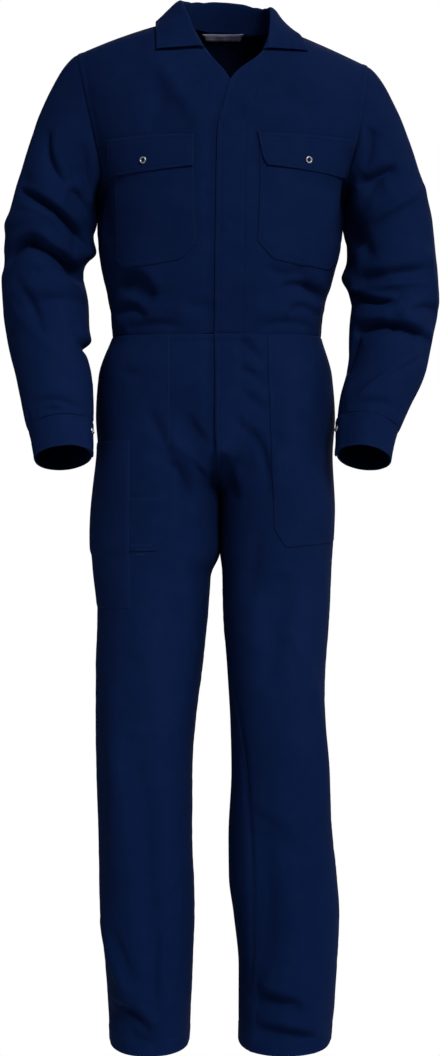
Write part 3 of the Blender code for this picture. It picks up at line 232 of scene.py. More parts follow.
# The collar's sections from the right front end round the back to the left: the neck
# seam, the roll and the outer edge, each a place on the body and its height.
COLLAR = read_table(
    "along seam_row seam_x seam_lift roll_row roll_x roll_lift edge_row edge_x edge_lift", [
        (0.00, 8.96, -0.0225, 0.0034, 8.98, -0.0310, 0.0060, 8.98, -0.0935, 0.0036),
        (0.10, 9.44, -0.0430, 0.0032, 9.43, -0.0450, 0.0120, 9.50, -0.0960, 0.0036),
        (0.22, 10.0, -0.0600, 0.0012, 9.98, -0.0545, 0.0290, 9.98, -0.0965, 0.0036),
        (0.35, 10.53, -0.0420, 0.0010, 10.32, -0.0380, 0.0350, 10.98, -0.0720, 0.0036),
        (0.50, 10.72, 0.0110, 0.0010, 10.46, 0.0100, 0.0360, 11.06, 0.0100, 0.0036),
        (0.65, 10.53, 0.0660, 0.0010, 10.32, 0.0560, 0.0320, 10.98, 0.0860, 0.0036),
        (0.78, 10.0, 0.0840, 0.0012, 9.98, 0.0690, 0.0260, 10.00, 0.1010, 0.0036),
        (0.90, 9.45, 0.0750, 0.0032, 9.44, 0.0730, 0.0120, 9.62, 0.1180, 0.0036),
        (1.00, 9.02, 0.0640, 0.0034, 9.04, 0.0720, 0.0060, 9.14, 0.1300, 0.0036),
])
ROLL_SHARE = 0.36       # where the roll comes in the collar's width
ROLL_SPREAD = 0.026     # how wide the roll turns
FALL_START = 0.45       # where the part that falls over begins
# Wide folds: soft grooves (height below 0) and ridges, each along a straight line.  On
# body and legs "across" is x; on a sleeve it is the turn from the inside to the front.
FOLD = "from_across from_drop to_across to_drop width height"
FRONT_FOLDS = read_table(FOLD, [
    (-0.150, 0.360, -0.110, 0.385, 0.013, -0.007),
    (-0.150, 0.415, -0.060, 0.405, 0.016, 0.004),
    (0.118, 0.350, 0.142, 0.376, 0.013, -0.006),
    (0.060, 0.408, 0.135, 0.400, 0.016, 0.004),
    (-0.092, 0.030, -0.034, 0.112, 0.016, 0.003),
    (0.130, 0.022, 0.040, 0.100, 0.016, 0.003),
    (-0.078, 0.602, -0.020, 0.640, 0.020, 0.005),
    (-0.078, 0.632, -0.040, 0.672, 0.018, -0.004),
    (-0.042, 0.672, -0.038, 0.725, 0.020, -0.004),
    (0.025, 0.560, 0.070, 0.500, 0.014, -0.004),
    (0.040, 0.640, 0.085, 0.600, 0.015, -0.005),
    (-0.160, 1.465, -0.100, 1.495, 0.014, -0.006),
    (-0.170, 1.330, -0.140, 1.420, 0.018, 0.005),
    (0.055, 1.443, 0.118, 1.455, 0.012, -0.007),
    (0.055, 1.486, 0.148, 1.500, 0.011, -0.006),
    (0.070, 1.190, 0.120, 1.215, 0.018, -0.004),
])
BACK_FOLDS = read_table(FOLD, [
    (-0.140, 0.380, -0.050, 0.400, 0.015, -0.006),
    (0.040, 0.395, 0.130, 0.372, 0.015, -0.006),
    (-0.100, 0.722, -0.040, 0.690, 0.026, -0.004),
    (0.045, 0.695, 0.110, 0.725, 0.026, -0.004),
    (-0.150, 1.020, -0.070, 1.045, 0.018, -0.006),
    (0.050, 1.040, 0.130, 1.015, 0.018, -0.006),
    (-0.150, 1.455, -0.080, 1.475, 0.014, -0.006),
    (0.060, 1.465, 0.135, 1.450, 0.014, -0.006),
    (-0.120, 0.140, -0.090, 0.260, 0.020, 0.004),
    (0.115, 0.150, 0.085, 0.265, 0.020, 0.004),
])
SLEEVE_FOLDS = read_both(FOLD, [
    (0.40, 0.205, 0.11, 0.288, 0.013, -0.007),
    (0.48, 0.327, 0.30, 0.298, 0.012, -0.008),
    (0.30, 0.298, 0.08, 0.342, 0.012, -0.008),
    (0.36, 0.140, 0.20, 0.200, 0.016, -0.004),
    (0.46, 0.268, 0.24, 0.262, 0.014, 0.005),
    (0.40, 0.375, 0.16, 0.360, 0.015, 0.005),
    (0.44, 0.440, 0.22, 0.405, 0.014, -0.004),
    (0.94, 0.335, 0.78, 0.350, 0.013, -0.006),
    (0.60, 0.250, 0.86, 0.300, 0.014, -0.005),
    (0.62, 0.430, 0.84, 0.400, 0.015, -0.005),
], [
    (0.16, 0.205, 0.28, 0.190, 0.012, -0.006),
    (0.10, 0.270, 0.15, 0.315, 0.014, -0.008),
    (0.10, 0.368, 0.25, 0.380, 0.011, -0.006),
    (0.09, 0.429, 0.26, 0.420, 0.012, -0.008),
    (0.26, 0.420, 0.38, 0.440, 0.012, -0.008),
    (0.42, 0.215, 0.20, 0.250, 0.015, 0.005),
    (0.14, 0.520, 0.42, 0.466, 0.013, -0.004),
    (0.40, 0.320, 0.22, 0.345, 0.015, 0.005),
    (0.92, 0.380, 0.76, 0.400, 0.013, -0.006),
    (0.60, 0.260, 0.86, 0.300, 0.014, -0.005),
    (0.62, 0.450, 0.84, 0.430, 0.015, -0.005),
])
# Creases, each a bent line through three places a, b and c: (across, drop).  With a
# skew the cloth above a groove stands out over it.
CREASE = "ax ad bx bd cx cd width height skew"
FRONT_CREASES = read_table(CREASE, [
    (-0.088, 0.05, -0.059, 0.091, -0.031, 0.137, 0.0125, 0.0038, 0.0),
    (0.129, 0.038, 0.082, 0.082, 0.036, 0.126, 0.0125, 0.0038, 0.0),
    (-0.153, 0.372, -0.127, 0.352, -0.096, 0.387, 0.0076, -0.0088, 0.8),
    (-0.158, 0.408, -0.134, 0.398, -0.108, 0.416, 0.0072, -0.0082, 0.7),
    (0.09, 0.372, 0.125, 0.368, 0.156, 0.384, 0.0076, -0.0066, 0.8),
    (-0.181, 0.16, -0.18, 0.23, -0.17, 0.3, 0.011, -0.009, 0.0),
    (0.194, 0.16, 0.19, 0.23, 0.18, 0.3, 0.01, -0.007, 0.0),
    (0.160, 0.098, 0.174, 0.130, 0.180, 0.170, 0.0090, 0.0020, 0.0),
    (-0.14, 0.431, -0.102, 0.424, -0.058, 0.43, 0.0055, -0.0026, 0.5),
    (0.06, 0.43, 0.103, 0.422, 0.145, 0.429, 0.0055, -0.0026, 0.5),
    (-0.085, 0.601, -0.046, 0.621, -0.008, 0.646, 0.007, 0.005, 0.0),
    (-0.078, 0.632, -0.051, 0.65, -0.036, 0.706, 0.0085, -0.006, 0.8),
    (0.028, 0.45, 0.046, 0.461, 0.068, 0.484, 0.0068, -0.0036, 0.7),
    (0.03, 0.488, 0.047, 0.498, 0.07, 0.514, 0.008, -0.004, 0.8),
    (0.004, 0.62, 0.014, 0.65, 0.027, 0.69, 0.007, -0.005, 0.7),
    (0.048, 0.588, 0.066, 0.624, 0.074, 0.69, 0.0085, -0.0048, 0.7),
    (0.016, 0.471, 0.035, 0.487, 0.060, 0.499, 0.0067, 0.0016, 0.0),
    (-0.150, 0.500, -0.133, 0.496, -0.108, 0.510, 0.0074, -0.0020, 0.7),
    (0.060, 0.800, 0.064, 0.850, 0.060, 0.910, 0.0099, -0.0024, 0.5),
    (-0.095, 1.290, -0.072, 1.264, -0.052, 1.222, 0.0083, 0.0024, 0.0),
    (-0.1706, 1.336, -0.1556, 1.387, -0.1376, 1.4255, 0.0062, 0.007, 0.0),
    (-0.162, 1.446, -0.131, 1.453, -0.103, 1.479, 0.0066, -0.0084, 1.0),
    (0.104, 0.88, 0.146, 1.01, 0.158, 1.17, 0.013, 0.0062, 0.0),
    (0.048, 1.145, 0.071, 1.168, 0.104, 1.178, 0.0105, -0.0028, 0.6),
    (0.052, 1.42, 0.079, 1.431, 0.122, 1.44, 0.0082, -0.0096, 1.0),
    (0.052, 1.474, 0.094, 1.477, 0.148, 1.491, 0.0072, -0.0092, 1.0),
    (-0.180, 1.045, -0.160, 1.080, -0.150, 1.140, 0.0105, 0.0022, 0.0),
    (-0.148, 1.478, -0.118, 1.496, -0.070, 1.488, 0.0050, -0.0020, 0.7),
    (-0.130, 0.880, -0.100, 0.960, -0.108, 1.060, 0.0150, 0.0022, 0.0),
    (0.095, 0.900, 0.104, 0.990, 0.096, 1.080, 0.0150, 0.0022, 0.0),
    (0.1, 0.405, 0.128, 0.398, 0.152, 0.412, 0.007, -0.0046, 0.8),
    (0.068, 0.34, 0.098, 0.352, 0.128, 0.346, 0.009, -0.0034, 0.7),
    (-0.06, 0.404, -0.03, 0.398, 0.0, 0.408, 0.009, -0.0024, 0.6),
    (0.034, 0.524, 0.05, 0.538, 0.068, 0.556, 0.007, -0.0032, 0.7),
    (-0.104, 0.552, -0.087, 0.586, -0.066, 0.622, 0.009, -0.0044, 0.7),
    (-0.05, 0.56, -0.03, 0.59, -0.01, 0.612, 0.008, -0.0034, 0.7),
    (-0.122, 1.04, -0.11, 1.23, -0.104, 1.39, 0.023, -0.0115, 0.0),
    (-0.164, 0.96, -0.156, 1.1, -0.16, 1.25, 0.015, 0.0066, 0.0),
    (0.064, 1.18, 0.07, 1.29, 0.064, 1.39, 0.017, -0.008, 0.0),
    (0.1, 0.8, 0.082, 0.88, 0.076, 0.98, 0.019, -0.0086, 0.0),
    (-0.103, 1.479, -0.088, 1.455, -0.06, 1.434, 0.007, 0.004, 0.0),
    (0.06, 0.735, 0.048, 0.78, 0.044, 0.84, 0.012, -0.004, 0.0),
    (0.056, 1.398, 0.086, 1.406, 0.11, 1.402, 0.006, -0.0016, 0.6),
    (0.06, 1.452, 0.1, 1.456, 0.14, 1.47, 0.0055, 0.0022, 0.0),
    (-0.14, 1.48, -0.122, 1.488, -0.108, 1.49, 0.005, -0.003, 0.7),
    (-0.0913, 1.33, -0.0985, 1.401, -0.096, 1.464, 0.01, -0.0066, 0.0),
    (-0.06, 0.83, -0.068, 0.9, -0.064, 0.99, 0.018, -0.0044, 0.0),
    (0.128, 1.24, 0.136, 1.32, 0.132, 1.41, 0.015, -0.0044, 0.0),
    (-0.1, 0.052, -0.09, 0.1, -0.11, 0.14, 0.015, -0.0046, 0.0),
    (0.09, 0.06, 0.11, 0.096, 0.14, 0.12, 0.013, -0.0042, 0.0),
    (-0.012, 0.448, -0.0122, 0.56, -0.008, 0.676, 0.0042, -0.0034, 0.0),
    (0.018, 0.562, 0.036, 0.58, 0.056, 0.594, 0.0075, -0.0034, 0.6),
    (-0.16, 1.33, -0.146, 1.37, -0.126, 1.41, 0.007, -0.005, 0.0),
    (0.1, 0.47, 0.106, 0.56, 0.1, 0.65, 0.018, 0.004, 0.0),
    (0.0215, 0.968, 0.0435, 1.175, 0.047, 1.44, 0.0044, -0.0032, 0.0),
])
BACK_CREASES = read_table(CREASE, [
    (-0.150, 0.372, -0.105, 0.392, -0.050, 0.398, 0.0062, -0.0040, 0.8),
    (0.046, 0.398, 0.100, 0.388, 0.142, 0.366, 0.0062, -0.0040, 0.8),
    (-0.120, 0.414, -0.040, 0.426, 0.040, 0.420, 0.0068, -0.0030, 0.7),
    (-0.140, 0.120, -0.100, 0.190, -0.092, 0.270, 0.0105, 0.0030, 0.0),
    (0.140, 0.120, 0.112, 0.190, 0.104, 0.270, 0.0105, 0.0030, 0.0),
    (-0.100, 0.726, -0.060, 0.708, -0.030, 0.690, 0.0074, -0.0040, 0.7),
    (0.036, 0.690, 0.074, 0.712, 0.116, 0.732, 0.0074, -0.0040, 0.7),
    (-0.160, 1.016, -0.110, 1.040, -0.060, 1.046, 0.0068, -0.0046, 0.8),
    (0.040, 1.046, 0.090, 1.036, 0.138, 1.008, 0.0068, -0.0046, 0.8),
    (-0.156, 1.070, -0.110, 1.086, -0.072, 1.080, 0.0068, -0.0030, 0.8),
    (0.048, 1.084, 0.092, 1.074, 0.132, 1.062, 0.0068, -0.0030, 0.8),
    (-0.150, 1.440, -0.108, 1.466, -0.066, 1.462, 0.0062, -0.0044, 0.8),
    (0.050, 1.452, 0.100, 1.466, 0.146, 1.440, 0.0062, -0.0044, 0.8),
    (-0.120, 0.800, -0.112, 0.870, -0.120, 0.950, 0.0135, 0.0030, 0.0),
    (0.104, 0.800, 0.094, 0.880, 0.100, 0.950, 0.0135, 0.0030, 0.0),
    (-0.100, 0.470, -0.050, 0.482, 0.000, 0.476, 0.0105, 0.0024, 0.0),
    (0.030, 0.478, 0.080, 0.470, 0.124, 0.484, 0.0105, 0.0024, 0.0),
])
SLEEVE_CREASES = read_both(CREASE, [
    (0.425, 0.216, 0.27, 0.241, 0.05, 0.306, 0.0046, -0.0093, 1.0),
    (0.43, 0.342, 0.33, 0.296, 0.225, 0.308, 0.0046, -0.0088, 1.0),
    (0.33, 0.297, 0.18, 0.318, 0.02, 0.356, 0.0046, -0.0098, 1.0),
    (0.372, 0.128, 0.308, 0.172, 0.21, 0.214, 0.0069, -0.0068, 1.0),
    (0.4, 0.24, 0.259, 0.258, 0.12, 0.3, 0.0064, 0.0063, 0.0),
    (0.32, 0.404, 0.226, 0.384, 0.02, 0.392, 0.0083, -0.0037, 0.8),
    (0.392, 0.387, 0.315, 0.435, 0.180, 0.480, 0.0089, 0.0024, 0.0),
    (0.4, 0.552, 0.27, 0.538, 0.12, 0.556, 0.0064, -0.0044, 0.8),
    (0.35, 0.566, 0.28, 0.552, 0.215, 0.56, 0.0055, -0.0044, 0.8),
    (0.960, 0.330, 0.880, 0.318, 0.780, 0.345, 0.0056, -0.0063, 1.0),
    (0.600, 0.240, 0.700, 0.258, 0.860, 0.300, 0.0056, -0.0054, 1.0),
    (0.560, 0.296, 0.680, 0.300, 0.840, 0.335, 0.0052, -0.0041, 1.0),
    (0.620, 0.440, 0.720, 0.425, 0.840, 0.400, 0.0063, -0.0044, 1.0),
    (0.640, 0.545, 0.720, 0.530, 0.840, 0.544, 0.0044, -0.0020, 1.0),
    (0.520, 0.160, 0.620, 0.180, 0.760, 0.225, 0.0068, -0.0037, 1.0),
    (0.150, 0.552, 0.160, 0.570, 0.165, 0.580, 0.0031, -0.0014, 0.8),
    (0.420, 0.548, 0.430, 0.566, 0.430, 0.580, 0.0031, -0.0016, 0.8),
    (0.560, 0.552, 0.565, 0.568, 0.570, 0.580, 0.0031, -0.0016, 0.8),
    (-0.14, 0.3, 0.0, 0.308, 0.12, 0.318, 0.0145, 0.0112, 0.0),
    (-0.12, 0.452, 0.0, 0.458, 0.13, 0.446, 0.0078, -0.0081, 0.9),
    (0.3, 0.33, 0.23, 0.35, 0.12, 0.352, 0.01, -0.002, 0.8),
    (0.2, 0.15, 0.15, 0.19, 0.09, 0.232, 0.0074, -0.0061, 0.9),
    (0.2, 0.222, 0.15, 0.23, 0.09, 0.256, 0.0064, -0.0049, 0.9),
    (0.35, 0.35, 0.3, 0.39, 0.26, 0.44, 0.0092, -0.0044, 0.7),
    (0.0, 0.216, 0.0, 0.246, 0.0, 0.28, 0.017, 0.0074, 0.0),
], [
    (0.12, 0.214, 0.222, 0.198, 0.31, 0.184, 0.0064, -0.0076, 1.0),
    (0.03, 0.245, 0.07, 0.275, 0.115, 0.305, 0.017, -0.0122, 0.3),
    (0.0, 0.366, 0.136, 0.384, 0.26, 0.388, 0.0046, -0.0102, 1.0),
    (0.06, 0.436, 0.24, 0.422, 0.48, 0.452, 0.0046, -0.0110, 1.0),
    (0.15, 0.272, 0.263, 0.249, 0.4, 0.214, 0.0074, 0.0068, 0.0),
    (0.18, 0.536, 0.276, 0.498, 0.43, 0.462, 0.0055, 0.0056, 0.0),
    (0.02, 0.372, 0.209, 0.366, 0.38, 0.36, 0.0064, 0.0066, 0.0),
    (0.08, 0.352, 0.23, 0.346, 0.36, 0.338, 0.0083, -0.0068, 0.8),
    (0.03, 0.5, 0.05, 0.465, 0.09, 0.44, 0.0083, -0.0074, 0.5),
    (0.11, 0.556, 0.24, 0.54, 0.386, 0.552, 0.0064, -0.0044, 0.8),
    (0.340, 0.300, 0.400, 0.340, 0.420, 0.400, 0.0082, 0.0032, 0.0),
    (0.960, 0.395, 0.880, 0.380, 0.770, 0.405, 0.0056, -0.0063, 1.0),
    (0.600, 0.250, 0.700, 0.268, 0.860, 0.305, 0.0056, -0.0054, 1.0),
    (0.560, 0.330, 0.680, 0.336, 0.840, 0.368, 0.0052, -0.0044, 1.0),
    (0.620, 0.460, 0.720, 0.446, 0.840, 0.430, 0.0063, -0.0044, 1.0),
    (0.640, 0.545, 0.720, 0.530, 0.840, 0.546, 0.0044, -0.0020, 1.0),
    (0.520, 0.160, 0.620, 0.182, 0.760, 0.228, 0.0068, -0.0037, 1.0),
    (0.160, 0.552, 0.168, 0.566, 0.170, 0.578, 0.0031, -0.0014, 0.8),
    (0.420, 0.546, 0.426, 0.562, 0.430, 0.578, 0.0031, -0.0016, 0.8),
    (0.560, 0.550, 0.562, 0.566, 0.566, 0.578, 0.0031, -0.0016, 0.8),
    (-0.14, 0.33, 0.0, 0.35, 0.12, 0.356, 0.0147, 0.009, 0.0),
    (0.25, 0.128, 0.22, 0.15, 0.16, 0.19, 0.0083, -0.0073, 0.6),
    (0.16, 0.232, 0.19, 0.214, 0.24, 0.206, 0.0074, -0.0049, 0.8),
    (0.3, 0.404, 0.4, 0.396, 0.47, 0.408, 0.0074, -0.0044, 0.9),
    (0.0, 0.216, 0.0, 0.25, 0.0, 0.296, 0.017, 0.0078, 0.0),
])

# Patches as (top, bottom, places between their ends on the inner edge, and on the outer
# one): (x, drop), and on the legs (share of the way to the side, drop).
CHEST_LINES = {
    "right": ([(-0.0385, 0.158), (-0.160, 0.158)],
              [(-0.0345, 0.3085), (-0.0585, 0.3325), (-0.1010, 0.3385), (-0.1420, 0.3415),
               (-0.1555, 0.3280)],
              [(-0.0390, 0.230)], [(-0.1578, 0.240)]),
    "left": ([(0.0585, 0.158), (0.1885, 0.158)],
             [(0.0558, 0.3060), (0.0690, 0.3205), (0.0790, 0.3315), (0.1185, 0.3385),
              (0.1620, 0.3420), (0.1760, 0.3280)],
             [(0.0590, 0.230)], [(0.1840, 0.240)]),
}
FLAP_LINES = {
    "right": ([(-0.0378, 0.1495), (-0.0900, 0.1480), (-0.1680, 0.1500)],
              [(-0.0391, 0.1955), (-0.1000, 0.2010), (-0.1655, 0.2045)], [], []),
    "left": ([(0.0545, 0.1440), (0.0640, 0.1470), (0.1200, 0.1475), (0.1960, 0.1490)],
             [(0.0700, 0.1945), (0.1200, 0.1985), (0.1905, 0.2050)],
             [(0.0590, 0.1650), (0.0635, 0.1860)], []),
}
HIP_LINES = {
    "right": ([(0, 0.4412), (1, 0.4412)], [(0, 0.727), (0.11, 0.7640), (1, 0.7660)], [], []),
    "left": ([(0, 0.4412), (1, 0.4412)], [(0, 0.733), (0.13, 0.7590), (1, 0.7490)], [], []),
}
RULE_LINES = ([(0, 0.600), (1, 0.600)], [(0, 0.850), (1, 0.850)], [], [])
# x of the inner edge of the hip pockets and of the rule pocket, at two drops
HIP_EDGES = {"right": ((0.441, 0.765), (-0.0740, -0.0740)),
             "left": ((0.441, 0.735), (0.0700, 0.0810))}
RULE_EDGE = ((0.600, 0.850), (-0.134, -0.134))
RULE_PUFF = 0.009       # how far the rule pocket stands out
HIP_FOOT = 0.762        # drop below which it no longer lies on the hip pocket
CHEST_SNAPS = {"right": (-0.1140, 0.1850), "left": (0.1315, 0.1850)}
HIDDEN_SNAPS = ((0.009, 0.284, 0.0011), (0.009, 0.200, 0.0004), (0.009, 0.372, 0.0005))
TACKS = [((-0.142, 0.687), (-0.078, 0.687)), ((-0.133, 0.756), (-0.100, 0.755)),
         ((-0.124, 0.7625), (-0.100, 0.762)), ((-0.126, 0.769), (-0.108, 0.769))]
# The left inseam is turned to the front, by these distances from the leg's inner side.
INSEAM = ((0.80, 0.90, 0.995, 1.086, 1.163, 1.272, 1.401, 1.515),
          (0.0, 0.001, 0.0075, 0.0165, 0.0255, 0.0300, 0.0195, 0.0160))
POCKET_LINE = (0.687, -0.168, -0.072)   # drop and reach of the seam across the right one

LABEL_X = 0.0045
LABEL_HALF = (0.0320, 0.0265)   # half its width, at its top and at its foot
LABEL_DROP = (-0.0362, -0.0272)
LABEL_CLOTH, LABEL_OFF = 0.0010, 0.0008  # its wall, and how far it stands off the back
SNAP_RADIUS, SNAP_HEIGHT, SNAP_LIFT = 0.0056, 0.0017, 0.0004
SNAP_STEPS = 48
SNAP_CLOTH = 0.50       # within this share of its radius a snap shows the cloth
SNAP_PROFILE = ((0.0, 0.18), (0.30, 0.20), (0.47, 0.10), (0.50, 0.10), (0.53, 0.40),
                (0.60, 0.82), (0.70, 0.98), (0.80, 0.96), (0.90, 0.74), (0.97, 0.40),
                (1.0, 0.0))


# --- numbers and points
def curve(start, end, leave, arrive, t):
    """Cubic between two values or lines of points, with the ways it leaves and arrives."""
    return (start * (1 + 2 * t) * (1 - t) ** 2 + end * t ** 2 * (3 - 2 * t)
            + leave * t * (1 - t) ** 2 - arrive * t ** 2 * (1 - t))


def even_slopes(steps, values):
    """Slopes at the rows that never carry the curve past a row's own value."""
    rise = np.diff(values) / np.diff(steps)
    before, after = np.append(rise[:1], rise), np.append(rise, rise[-1:])
    same_way = before * after > 0
    total = np.where(same_way, before + after, 1.0)
    return np.where(same_way, 2 * before * after / total, 0.0)


def along(table, column, place):
    """Value of a column at a place along the first column, on a smooth curve."""
    steps, values = table[next(iter(table))], table[column]
    slopes = even_slopes(steps, values)
    place = np.clip(place, steps[0], steps[-1])
    i = np.clip(np.searchsorted(steps, place, side="right") - 1, 0, len(steps) - 2)
    width = steps[i + 1] - steps[i]
    return curve(values[i], values[i + 1], width * slopes[i], width * slopes[i + 1],
                 (place - steps[i]) / width)


def full(share):
    """Makes a rounded section squarer, and leaves its ends where they are."""
    return share + FULLNESS * share * (1 - share)


def ease(share):
    """0 to 1 with a level start and end."""
    share = np.clip(share, 0, 1)
    return share * share * (3 - 2 * share)


def pack(x, y, z):
    return np.stack(np.broadcast_arrays(x, y, z), axis=-1)


def unit(vectors):
    return vectors / np.maximum(np.linalg.norm(vectors, axis=-1, keepdims=True), 1e-12)


def halve(low, high, shape, is_low):
    """The place between low and high up to which is_low holds."""
    low, high = np.full(shape, low), np.full(shape, high)
    for _ in range(HALVINGS):
        middle = (low + high) / 2
        under = is_low(middle)
        low, high = np.where(under, middle, low), np.where(under, high, middle)
    return middle


def nearest(distances, mark=0.0):
    return int(np.argmin(abs(distances - mark)))


def soft_noise(x, y, size, seed):
    """Smooth hills and hollows from -1 to 1, about size across."""
    table = np.random.default_rng(seed).uniform(-1, 1, (64, 64))
    fx, fy = np.asarray(x) / size + 20, np.asarray(y) / size + 20
    i, j = np.floor(fx).astype(int), np.floor(fy).astype(int)
    tx, ty = ease(fx - i), ease(fy - j)
    i, j, k, l = i % 64, j % 64, (i + 1) % 64, (j + 1) % 64
    low = table[i, j] * (1 - tx) + table[k, j] * tx
    high = table[i, l] * (1 - tx) + table[k, l] * tx
    return low * (1 - ty) + high * ty


# --- folds and creases
def fold_height(folds, across, drop, scale=1.0, turns=(0,)):
    """Sum of the wide folds, soft grooves and ridges, at a place on the cloth."""
    total = np.zeros(np.broadcast(across, drop).shape)
    for ax, ad, bx, bd, width, height in zip(*folds.values()):
        dx, dy = (bx - ax) * scale, bd - ad
        away = np.full(total.shape, np.inf)
        for turn in turns:
            x, y = (across + turn - ax) * scale, drop - ad
            t = np.clip((x * dx + y * dy) / (dx * dx + dy * dy), 0, 1)
            away = np.minimum(away, np.hypot(x - t * dx, y - t * dy))
        total += height * np.exp(-(away / width) ** 2)
    return total


def crease_height(creases, across, drop, scale=1.0, turns=(0,), pieces=8):
    """Sum of the creases, bent lines that die out at their ends."""
    y = np.broadcast_to(drop, np.broadcast(across, drop).shape)
    total = np.zeros(y.shape)
    steps = np.linspace(0, 1, pieces + 1)[:, None]
    for ax, ad, bx, bd, cx, cd, width, height, skew in zip(*creases.values()):
        a, b, c = np.array([(ax * scale, ad), (bx * scale, bd), (cx * scale, cd)])
        line = ((1 - steps) ** 2 * a + 2 * steps * (1 - steps) * (2 * b - (a + c) / 2)
                + steps ** 2 * c)
        low, high = line.min(0) - 7 * width, line.max(0) + 7 * width
        for x in [np.broadcast_to((across + turn) * scale, y.shape) for turn in turns]:
            near = (x > low[0]) & (x < high[0]) & (y > low[1]) & (y < high[1])
            if not near.any():
                continue
            away = np.full(near.sum(), np.inf)
            above, share = np.zeros(away.shape), np.zeros(away.shape)
            for n in range(pieces):
                dx, dy = line[n + 1] - line[n]
                px, py = x[near] - line[n, 0], y[near] - line[n, 1]
                long = math.hypot(dx, dy)
                t = np.clip((px * dx + py * dy) / long ** 2, 0, 1)
                gap = np.hypot(px - t * dx, py - t * dy)
                side = (px * dy - py * dx) / long * (1 if cx > ax else -1)
                closer = gap < away
                away, above, share = [np.where(closer, new, old) for new, old in (
                    (gap, away), (side, above), ((n + t) / pieces, share))]
            fade = np.sin(math.pi * np.clip(share, 0.0, 1.0)) ** 0.6
            lapped = np.tanh(above / (0.6 * width)) * np.exp(-(away / (3.4 * width)) ** 1.5)
            total[near] += height * fade * (np.exp(-(away / width) ** 2) - skew * lapped)
    return total


def slack(x, drop, seed):
    """How the cloth lies a little loose: long soft swells and a few smaller ones."""
    return (0.0016 * soft_noise(x, drop * 0.55, 0.060, seed)
            + 0.0006 * soft_noise(x, drop, 0.026, seed + 1))


def relief(face, x, drop):
    """Wide folds, slackness and creases of the front or the back."""
    folds, creases, seed = {"front": (FRONT_FOLDS, FRONT_CREASES, 3),
                            "back": (BACK_FOLDS, BACK_CREASES, 8)}[face]
    return fold_height(folds, x, drop), slack(x, drop, seed), crease_height(creases, x, drop)


def raised(surface, a, b, lift, outward=1.0, low_b=-1.0, high_b=1.0, step=NUDGE):
    """Points of a surface, moved out along its own normals by lift."""
    across = surface(a, np.minimum(b + step, high_b)) - surface(a, np.maximum(b - step, low_b))
    ahead = surface(a + step, b) - surface(a - step, b)
    normal = unit(np.cross(across, ahead)) * outward
    return surface(a, b) + normal * np.asarray(lift)[..., None]


# --- the upper body: u is -1 at the right edge, 0 at the centre, 1 at the left
def of_side(name, row, left):
    return np.where(left, along(BODY, "left_" + name, row), along(BODY, "right_" + name, row))


def body_plain(row, u):
    """The body without folds."""
    left = u > 0
    edge_x, edge_z = of_side("x", row, left), -of_side("drop", row, left)
    centre_z, edge_y = -along(BODY, "centre_drop", row), along(BODY, "edge_y", row)
    whole = np.radians(np.minimum(along(BODY, "turn", row), 90))
    angle = np.abs(u) * whole
    across = np.sin(angle) / np.sin(whole)
    deep = full((np.cos(angle) - np.cos(whole)) / (1 - np.cos(whole)))
    slope = np.where(left, SHOULDER_SLOPE["left"], SHOULDER_SLOPE["right"])
    return pack(CENTRE_X + (edge_x - CENTRE_X) * across,
                edge_y + (along(BODY, "centre_y", row) - edge_y) * deep,
                centre_z + (edge_z - centre_z) * across ** slope)


def body(row, u):
    """The body's cloth, with its folds and creases, which fade towards the seams."""
    plain = body_plain(row, u)
    x, drop = plain[..., 0], -plain[..., 2]
    wide, loose, fine = [np.where(row < SHOULDER_ROW, front, back) for front, back in zip(
        relief("front", x, drop), relief("back", x, drop))]
    margin = 1 - np.abs(u)
    height = (wide + loose) * ease(margin / FOLD_FADE) + fine * ease(margin / CREASE_FADE)
    return raised(body_plain, row, u, height * ease(np.abs(row - SHOULDER_ROW) / 0.6))


def body_u(row, x):
    """u of a body row where it has the given x."""
    left = x > CENTRE_X
    whole = np.radians(np.minimum(along(BODY, "turn", row), 90))
    share = np.clip((x - CENTRE_X) / (of_side("x", row, left) - CENTRE_X), 0, 1)
    u = np.arcsin(share * np.sin(whole)) / whole
    return np.where(left, u, -u)


def body_drop(row, x):
    return -body_plain(row, body_u(row, x))[..., 2]


def body_place(x, drop):
    """(row, u) of the front of the body at the given x and drop."""
    x, drop = np.broadcast_arrays(np.asarray(x, float), drop)
    row = halve(0.0, 9.9, x.shape, lambda row: body_drop(row, x) > drop)
    return row, np.clip(body_u(row, x), -SIDE_U, SIDE_U)


def body_out(a, u):
    """Ways out of the body."""
    return raised(body_plain, a, u, np.full(a.shape, NUDGE)) - body_plain(a, u)


# --- the trousers: v is 0 at the waist, 1 at the fork, 2 at the hem; |u| is 0 at the
# centre or inseam and 1 outside
def seat_level(v):
    """Drop, and how far the legs have parted."""
    angle = np.clip((v - TOP_SHARE) / (1 - TOP_SHARE), 0, 1) * math.pi / 2
    seat = RISE_DROP + (CROTCH_DROP - RISE_DROP) * np.sin(angle) ** (2 / 3)
    top = WAIST_DROP + (RISE_DROP - WAIST_DROP) * v / TOP_SHARE
    leg = CROTCH_DROP + (HEM_DROP - CROTCH_DROP) * (v - 1)
    drop = np.where(v < TOP_SHARE, top, np.where(v < 1, seat, leg))
    return drop, np.where(v < 1, 1 - np.cos(angle), 1.0)


def to_fork(drop, start=RISE_DROP):
    return ease((drop - start) / (CROTCH_DROP - start))


def centre_line(drop):
    return CENTRE_X * (1 - to_fork(drop))


